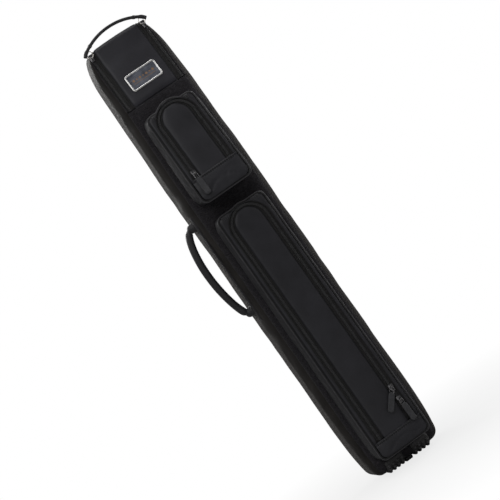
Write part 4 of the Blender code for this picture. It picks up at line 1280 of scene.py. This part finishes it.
    def build_door(self):
        """The arched leather panel, softly domed, with a turned edge."""
        rise = self.door_rise
        low = self.band - 0.0012
        heights = np.concatenate([np.linspace(low, self.spring, 110, endpoint=False),
                                  self.spring + rise * np.sin(np.linspace(0, math.pi / 2, 26))[:-1]])
        t = np.linspace(-1, 1, 31)
        t = np.sign(t) * (1 - (1 - np.abs(t)) ** 1.35)
        share = np.clip((heights - self.spring) / rise, 0, 1)
        half = self.door_half * np.sqrt(1 - share**2)
        x = t[None, :] * half[:, None]
        s = np.repeat(heights[:, None], len(t), axis=1)
        from_edge = np.minimum(half[:, None] * (1 - np.abs(t))[None, :], (self.spring + rise - s))
        dome = 0.0024 * (1 - np.exp(-from_edge / 0.0055)) - 0.0019 * np.exp(-from_edge / 0.0007)
        points = self.face.at(x, s, 0.0)
        soft = ripple(points, (0.03, 0.03, 0.055), 52.0 + self.z0)
        dome = dome + 0.0006 * soft * np.clip(from_edge / 0.01, 0, 1)
        points = self.face.at(x, s, 0.0004 - dome)
        door = sheet(f"{self.name}_door_skin", points, DOOR_LEATHER, SKIN_THICK, LINING)
        place(door, self.bend, "black_leather", f"{self.name}_door", f"{self.name}_door_foot")
        edge_x, edge_s, *_ = arch_line(self.door_half + 0.0003, rise + 0.0003, low + 0.002, self.spring, 60)
        edge = self.face.at(edge_x, edge_s, 0.0001)
        # The dark cord round the door's edge is painted shadow of the gap between door and zip.
        cord(f"{self.name}_door_edge_shadow", edge, self.out, circle(0.0007, 8), SEAM_SHADE, self.bend, "black_fabric")

    def build(self):
        self.build_shell()
        self.build_face()
        self.build_band()
        self.build_top_welt()
        self.build_zip()
        self.build_door()


GRIP_TOP = 0.0078
GRIP_END = 0.0415


def make_grip(name, body, joint, pocket, node, lean=4):
    """A rubber pull with rounded shoulders and a finger dimple, leaning toward the case by some degrees."""
    pivot = np.array(JOINTS[joint]["pos_m"])
    right = -unit(JOINTS[joint]["axis"])
    inward = pocket.face.inward
    lean = math.radians(lean)
    down = -np.cross(right, inward) * math.cos(lean) - inward * math.sin(lean)
    out = np.cross(down, right)
    if np.dot(out, inward) > 0:
        out = -out
    share = np.concatenate([np.linspace(0, 0.12, 6), np.linspace(0.18, 0.80, 9), np.linspace(0.86, 1.0, 9)])
    share = share[:, None]
    along = mix(GRIP_TOP, GRIP_END, share)
    end = np.sqrt(1 - np.clip((share - 0.86) / 0.14, 0, 1) ** 2)
    start = np.sqrt(1 - np.clip((0.05 - share) / 0.05, 0, 1) ** 2)
    half = (0.0034 + 0.0018 * ease(share / 0.14)) * (0.22 + 0.78 * end) * (0.35 + 0.65 * start)
    thick = 0.0019 * (0.25 + 0.75 * end) * (0.30 + 0.70 * start)
    w, h = soft_box(half, thick, 28, 0.35, 0.45)
    hollow = 1 - np.clip(np.abs(w) / (half * 0.72), 0, 1) ** 4
    h = h - np.sign(h) * 0.0007 * bump_at(share, 0.62, 0.17) * hollow
    grid = pivot + right * w[..., None] + down * along[..., None] + out * h[..., None]
    grip = make_object(name, grid, capped_faces(*grid.shape[:2], flip=False), PULL_RUBBER)
    fix_normals(grip)
    place(grip, body, "rubber", node)


def make_pockets():
    upper = Pocket("upper_pocket", "upper_door_hinge", "upper_slider_slide", "upper_door", 0.0058, 0.0066)
    lower = Pocket("lower_pocket", "lower_door_hinge", "lower_slider_a_slide", "lower_door", 0.0046, 0.0)
    for pocket in (upper, lower):
        pocket.build()
    make_grip("upper_grip", "upper_pull", "upper_pull_swing", upper, "upper_pull_grip")
    make_grip("lower_grip_a", "lower_pull_a", "lower_pull_a_swing", lower, "lower_a_pull_grip")
    make_grip("lower_grip_b", "lower_pull_b", "lower_pull_b_swing", lower, "lower_b_pull_grip", lean=8)


# ---------------------------------------------------------------- side handle
def make_handle():
    axis_x, axis_y, _ = JOINTS["handle_swing"]["pos_m"]
    low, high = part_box("side_handle")
    top_z, bottom_z = high.z - 0.0002, low.z + 0.0002
    reach = axis_x - (low.x + 0.0064)
    height = top_z - bottom_z
    t = np.linspace(0, 1, 90)
    shape = np.sin(math.pi * t**0.88) ** 0.55
    z = top_z - height * t
    x = axis_x - reach * shape
    path = resample(np.stack([x, axis_y + 0 * x, z], axis=1), 0.0026)
    swell = 1.0 + 0.02 * ripple(path[:, None, :], (0.02, 0.02, 0.02), 8.0)[:, 0]
    swell *= mix(0.50, 1.0, np.minimum(top_z - path[:, 2], path[:, 2] - bottom_z) / 0.006)
    grip = bar("handle_roll", path, (0.0, 1.0, 0.0), circle(0.0066, 20), HANDLE_LEATHER, swell=swell)
    place(grip, "handle", "black_leather", "side_handle")
    inside = path[4:-4] + np.array([0.0064, 0.0, 0.0])
    place(stitches("handle_stitch", inside, (1, 0, 0), length=0.0034), "handle", "black_leather")
    make_handle_patch(axis_x, axis_y, top_z, bottom_z)


def side_skin_x(y, z):
    """The left side's padded surface at (y, z), as a negative x."""
    half, front, back, radius = section(np.asarray(z, float))
    near = np.minimum(np.asarray(y) - front, back - np.asarray(y))
    over = np.clip(radius - near, 0, radius)
    drop = radius - np.sqrt(radius**2 - over**2)
    return -(half - drop) - PADDING + 0.0012


def make_handle_patch(axis_x, axis_y, top_z, bottom_z):
    low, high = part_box("handle_patch")
    u = np.linspace(-1, 1, 15)
    v = np.linspace(-1, 1, 61)
    grid_u, grid_v = np.meshgrid(u, v)
    half_y, half_z = (high.y - low.y) / 2, (high.z - low.z) / 2
    z = (low.z + high.z) / 2 + grid_v * half_z
    corner = (np.abs(grid_u) ** 6 + np.abs(grid_v) ** 40) ** (1 / 8)
    y = (low.y + high.y) / 2 + grid_u * half_y * np.clip(1.12 - 0.12 * corner, 0, 1)
    lift = 0.0016 * (1 - np.clip(np.maximum(np.abs(grid_u) ** 12, np.abs(grid_v) ** 60), 0, 1))
    points = np.stack([side_skin_x(y, z) - lift, y, z], axis=-1)
    points[..., 0] -= 0.0006 * ripple(points, (0.02, 0.016, 0.03), 61.0) * (lift > 0.0005)
    patch = sheet("handle_patch_skin", points, HANDLE_LEATHER, PATCH_THICK, flip=True, smooth=True)
    place(patch, "case", "black_leather", "handle_patch")
    outline = rounded_outline(low.y + 0.0026, high.y - 0.0026, low.z + 0.0026, high.z - 0.0026, 0.006)
    loop = resample(np.concatenate([outline, outline[:1]]), 0.003)
    line = np.stack([side_skin_x(loop[:, 0], loop[:, 1]) - 0.0016, loop[:, 0], loop[:, 1]], axis=1)
    place(stitches("handle_patch_stitch", line, (-1, 0, 0)), "case", "black_leather")
    for name, z, node in (("upper", top_z, "handle_tab_upper"), ("lower", bottom_z, "handle_tab_lower")):
        place(handle_boot(name, axis_x, axis_y, z), "case", "black_leather", node)


def handle_boot(name, axis_x, axis_y, z):
    """The padded leather lug that carries one end of the handle, round on the axis it turns about."""
    skin = float(side_skin_x(axis_y, z))
    stations = np.linspace(0, 1, 14)
    path = np.stack([skin + 0.003 + (axis_x - 0.0070 - skin - 0.003) * stations,
                     axis_y + 0 * stations, z + 0 * stations], axis=1)
    radius = 0.0105 - 0.0030 * ease(stations / 0.6)
    cap = np.sqrt(np.clip(1 - np.clip((stations - 0.55) / 0.45, 0, 1) ** 2, 0.01, 1))
    profile = circle(1.0, 22, 1.05)
    return bar(f"handle_boot_{name}", path, (0.0, 0.0, 1.0), profile, HANDLE_LEATHER, swell=radius * cap)


# ---------------------------------------------------------------- feet
FOOT_THICK = 0.0032
FOOT_STEP = 0.0035
FOOT_CORNER = 0.004
# A stud's levels as (half size, height)
STUD_LEVELS = ((0.0027, 0.0), (0.0022, 0.0014), (0.0013, 0.0025), (0.0009, 0.0027))


def foot_line(centre, top):
    """The middle of a foot: down the front, under the base and up the back."""
    turn = np.linspace(0, math.pi / 2, 12)
    front_z = np.linspace(top, BASE_Z + BASE_ROUND + 0.001, 4)
    under = np.linspace(FRONT_Y + BASE_ROUND, BACK_Y - BASE_ROUND, 12)[1:-1]
    y = np.concatenate([FRONT_Y - 0.0004 + 0 * front_z, FRONT_Y + BASE_ROUND * (1 - np.cos(turn))])
    z = np.concatenate([front_z, BASE_Z + BASE_ROUND * (1 - np.sin(turn))])
    y = np.concatenate([y, under, -y[::-1]])
    z = np.concatenate([z, BASE_Z + 0 * under, z[::-1]])
    return resample(np.stack([centre + 0 * y, y, z], axis=1), FOOT_STEP)


def make_feet():
    """Two rubber soles, each with four rows of studs along it."""
    across = np.array([1.0, 0.0, 0.0])
    u = np.linspace(-1, 1, 17)
    for side in ("left", "right"):
        low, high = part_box(f"foot_{side}")
        centre, half = (low.x + high.x) / 2, (high.x - low.x) / 2
        line = foot_line(centre, high.z)
        tangent = unit(np.gradient(line, axis=0))
        out = np.cross(across, tangent)
        out = out * np.sign((out * (line - np.array([centre, 0.0, 0.4]))).sum(axis=1))[:, None]
        index = np.arange(len(line))
        end = np.minimum(index, index[::-1])[:, None] * FOOT_STEP
        narrow = FOOT_CORNER * (1 - np.sqrt(1 - np.clip(1 - end / FOOT_CORNER, 0, 1) ** 2))
        lift = FOOT_THICK * (1 - np.abs(u) ** 14) * np.minimum(1.0, (end + 0.0006) / 0.0016)
        grid = line[:, None] + across * (u * (half - narrow))[..., None] + out[:, None] * lift[..., None]
        sole = sheet(f"foot_{side}_pad", grid, FOOT_RUBBER, SOLE_THICK)
        fix_normals(sole, (0.0, 0.0, -1.0))
        place(sole, "case", "rubber", f"foot_{side}")
        studs = [stud(line[i] + out[i] * FOOT_THICK * 0.9, out[i], tangent[i], half, k)
                 for i in range(3, len(line) - 3, 2) for k in range(4)]
        place(join(f"foot_{side}_studs", studs), "case", "rubber")


def stud(base, out, tangent, half, column):
    """A blunt pyramid standing on the sole."""
    right = np.array([1.0, 0.0, 0.0])
    centre = base + right * (column - 1.5) * half * 0.46
    corners = ((-1, -1), (1, -1), (1, 1), (-1, 1))
    verts = [centre + right * a * size + tangent * b * size + out * lift
             for size, lift in STUD_LEVELS for a, b in corners]
    faces = [*grid_faces(4, 4, wrap=True).tolist(), [12, 13, 14, 15], [3, 2, 1, 0]]
    # The studs take the paler rubber copy, a painted highlight.
    obj = make_object("stud", verts, faces, STUD_RUBBER_LIT, smooth=False)
    fix_normals(obj)
    return obj


# ---------------------------------------------------------------- tubes inside
TUBE_WALL = 0.0012
LIP = 0.0010
LIP_SHOULDER = 0.0003
LIP_INSET = 0.0002


def make_tubes():
    """The cue tubes: plain sleeves with a rounded mouth."""
    turn = np.linspace(0, 2 * math.pi, 40, endpoint=False)
    for node in sorted(name for name in frame["nodes"] if "_tube_" in name):
        low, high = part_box(node)
        outer = (high.x - low.x) / 2
        inner, shoulder, lip = outer - TUBE_WALL, high.z - LIP_SHOULDER, high.z - LIP
        section_line = np.array([
            (inner, low.z), (outer, low.z), (outer, lip), (outer - LIP_INSET, shoulder),
            (outer - TUBE_WALL / 2, high.z), (inner + LIP_INSET, shoulder), (inner, lip), (inner, low.z)])
        r, z = section_line[:, :1], section_line[:, 1:]
        x, y = (low.x + high.x) / 2 + r * np.cos(turn), (low.y + high.y) / 2 + r * np.sin(turn)
        grid = np.stack([x, y, z + 0 * turn], axis=-1)
        faces = grid_faces(*grid.shape[:2], wrap=True)
        sleeve = make_object(f"{node}_sleeve", grid, faces, PLASTIC)
        fix_normals(sleeve)
        place(sleeve, "case", "tube_plastic", node)


# ---------------------------------------------------------------- studio
WHITE = (1.0, 1.0, 1.0, 1.0)
FLOOR_REACH = 30.0
FLOOR_Z = -0.0004
WORLD_LIGHT = 0.13
AIM = (0.0, 0.0, 0.45)
HIGH_AIM = (0.0, 0.0, 0.6)
FOOT_AIM = (0.0, 0.0, 0.02)

# Each light: position, target, size and power
LIGHTS = {
    "key": ((-0.9, -2.0, 2.0), HIGH_AIM, (1.4, 1.4), 15.5),
    "fill": ((1.7, -1.5, 1.2), HIGH_AIM, (1.0, 1.4), 4.0),
    "top": ((0.1, -0.3, 2.3), AIM, (1.2, 0.8), 9.0),
    "low": ((-0.3, -1.3, 0.10), FOOT_AIM, (0.9, 0.3), 0.6),
    "side_left": ((-1.6, 0.8, 1.7), AIM, (0.5, 0.7), 11.0),
    "side_right": ((1.6, 0.8, 1.7), AIM, (0.5, 0.7), 14.0),
    "right_wash": ((2.3, 0.1, 0.9), AIM, (0.6, 1.5), 14.0),
    "behind": ((-0.9, 2.1, 1.7), AIM, (0.8, 1.0), 34.0),
}


def floor_material():
    """Pale floor that turns to plain white away from the case, for the camera only."""
    shade = Shade("studio_floor", (0.34, 0.34, 0.34), 0.9)
    distance = shade.nodes.new("ShaderNodeVectorMath")
    distance.operation = "LENGTH"
    shade.links.new(shade.place, distance.inputs[0])
    glow = shade.nodes.new("ShaderNodeEmission")
    glow.inputs["Color"].default_value = WHITE
    blend = shade.nodes.new("ShaderNodeMixShader")
    seen = shade.nodes.new("ShaderNodeLightPath").outputs["Is Camera Ray"]
    fade = shade.ramp(distance.outputs["Value"], 0.06, 0.6, 0.80, 1.0)
    shade.links.new(shade.math("MULTIPLY", fade, seen), blend.inputs[0])
    shade.links.new(shade.shader.outputs[0], blend.inputs[1])
    shade.links.new(glow.outputs[0], blend.inputs[2])
    shade.links.new(blend.outputs[0], shade.nodes["Material Output"].inputs["Surface"])
    return shade.material


def make_floor():
    corners = [(-1, -1), (1, -1), (1, 1), (-1, 1)]
    verts = [(x * FLOOR_REACH, y * FLOOR_REACH, FLOOR_Z) for x, y in corners]
    make_object("studio_floor", verts, [[0, 1, 2, 3]], floor_material(), smooth=False)


def make_world():
    """White behind everything, with a weaker light of its own."""
    world = bpy.data.worlds.new("studio_world")
    bpy.context.scene.world = world
    world.use_nodes = True
    nodes, links = world.node_tree.nodes, world.node_tree.links
    shown = nodes.new("ShaderNodeBackground")
    shown.inputs["Color"].default_value = WHITE
    light = nodes["Background"]
    light.inputs["Color"].default_value = WHITE
    light.inputs["Strength"].default_value = WORLD_LIGHT
    path = nodes.new("ShaderNodeLightPath")
    choose = nodes.new("ShaderNodeMixShader")
    links.new(path.outputs["Is Camera Ray"], choose.inputs[0])
    links.new(light.outputs[0], choose.inputs[1])
    links.new(shown.outputs[0], choose.inputs[2])
    links.new(choose.outputs[0], nodes["World Output"].inputs["Surface"])


def make_lights():
    for name, (position, target, size, power) in LIGHTS.items():
        data = bpy.data.lights.new(name, "AREA")
        data.shape = "RECTANGLE"
        data.size, data.size_y = size
        data.energy = power
        lamp = bpy.data.objects.new(name, data)
        lamp.location = position
        lamp.rotation_euler = (Vector(target) - Vector(position)).to_track_quat("-Z", "Y").to_euler()
        bpy.context.scene.collection.objects.link(lamp)


VIEW_TURN = math.radians(-10.5)
VIEW_RISE = math.radians(1.0)
VIEW_ROLL = math.radians(35)
VIEW_DISTANCE = 3.1
SENSOR = 36.0


def make_camera():
    """A rolled camera whose frame just takes in the whole case."""
    data = bpy.data.cameras.new("camera")
    camera = bpy.data.objects.new("camera", data)
    bpy.context.scene.collection.objects.link(camera)
    low, high = (Vector(corner) for corner in CAD_BOX)
    middle = (low + high) / 2
    level = math.cos(VIEW_RISE)
    back = Vector((math.sin(VIEW_TURN) * level, -math.cos(VIEW_TURN) * level, math.sin(VIEW_RISE)))
    turned = (-back).to_track_quat("-Z", "Y") @ Quaternion((0.0, 0.0, 1.0), -VIEW_ROLL)
    camera.location = middle + back * VIEW_DISTANCE
    camera.rotation_euler = turned.to_euler()
    data.sensor_width = SENSOR
    spans = zip(low, high)
    seen = [turned.inverted() @ (Vector(corner) - middle) for corner in itertools.product(*spans)]
    reach = max(max(abs(point.x), abs(point.y)) for point in seen)
    data.lens = SENSOR * VIEW_DISTANCE / (2 * reach)
    data.clip_start, data.clip_end = 0.05, 60.0
    bpy.context.scene.camera = camera
    bpy.context.scene.view_settings.view_transform = "Standard"


make_gussets()
make_belt()
make_lid_leather()
make_lid_zips()
make_lid_hinge()
make_nameplate()
make_strap()
make_pockets()
make_handle()
make_feet()
make_tubes()
run_padding()
finish_hardware()
make_floor()
make_world()
make_lights()
make_camera()
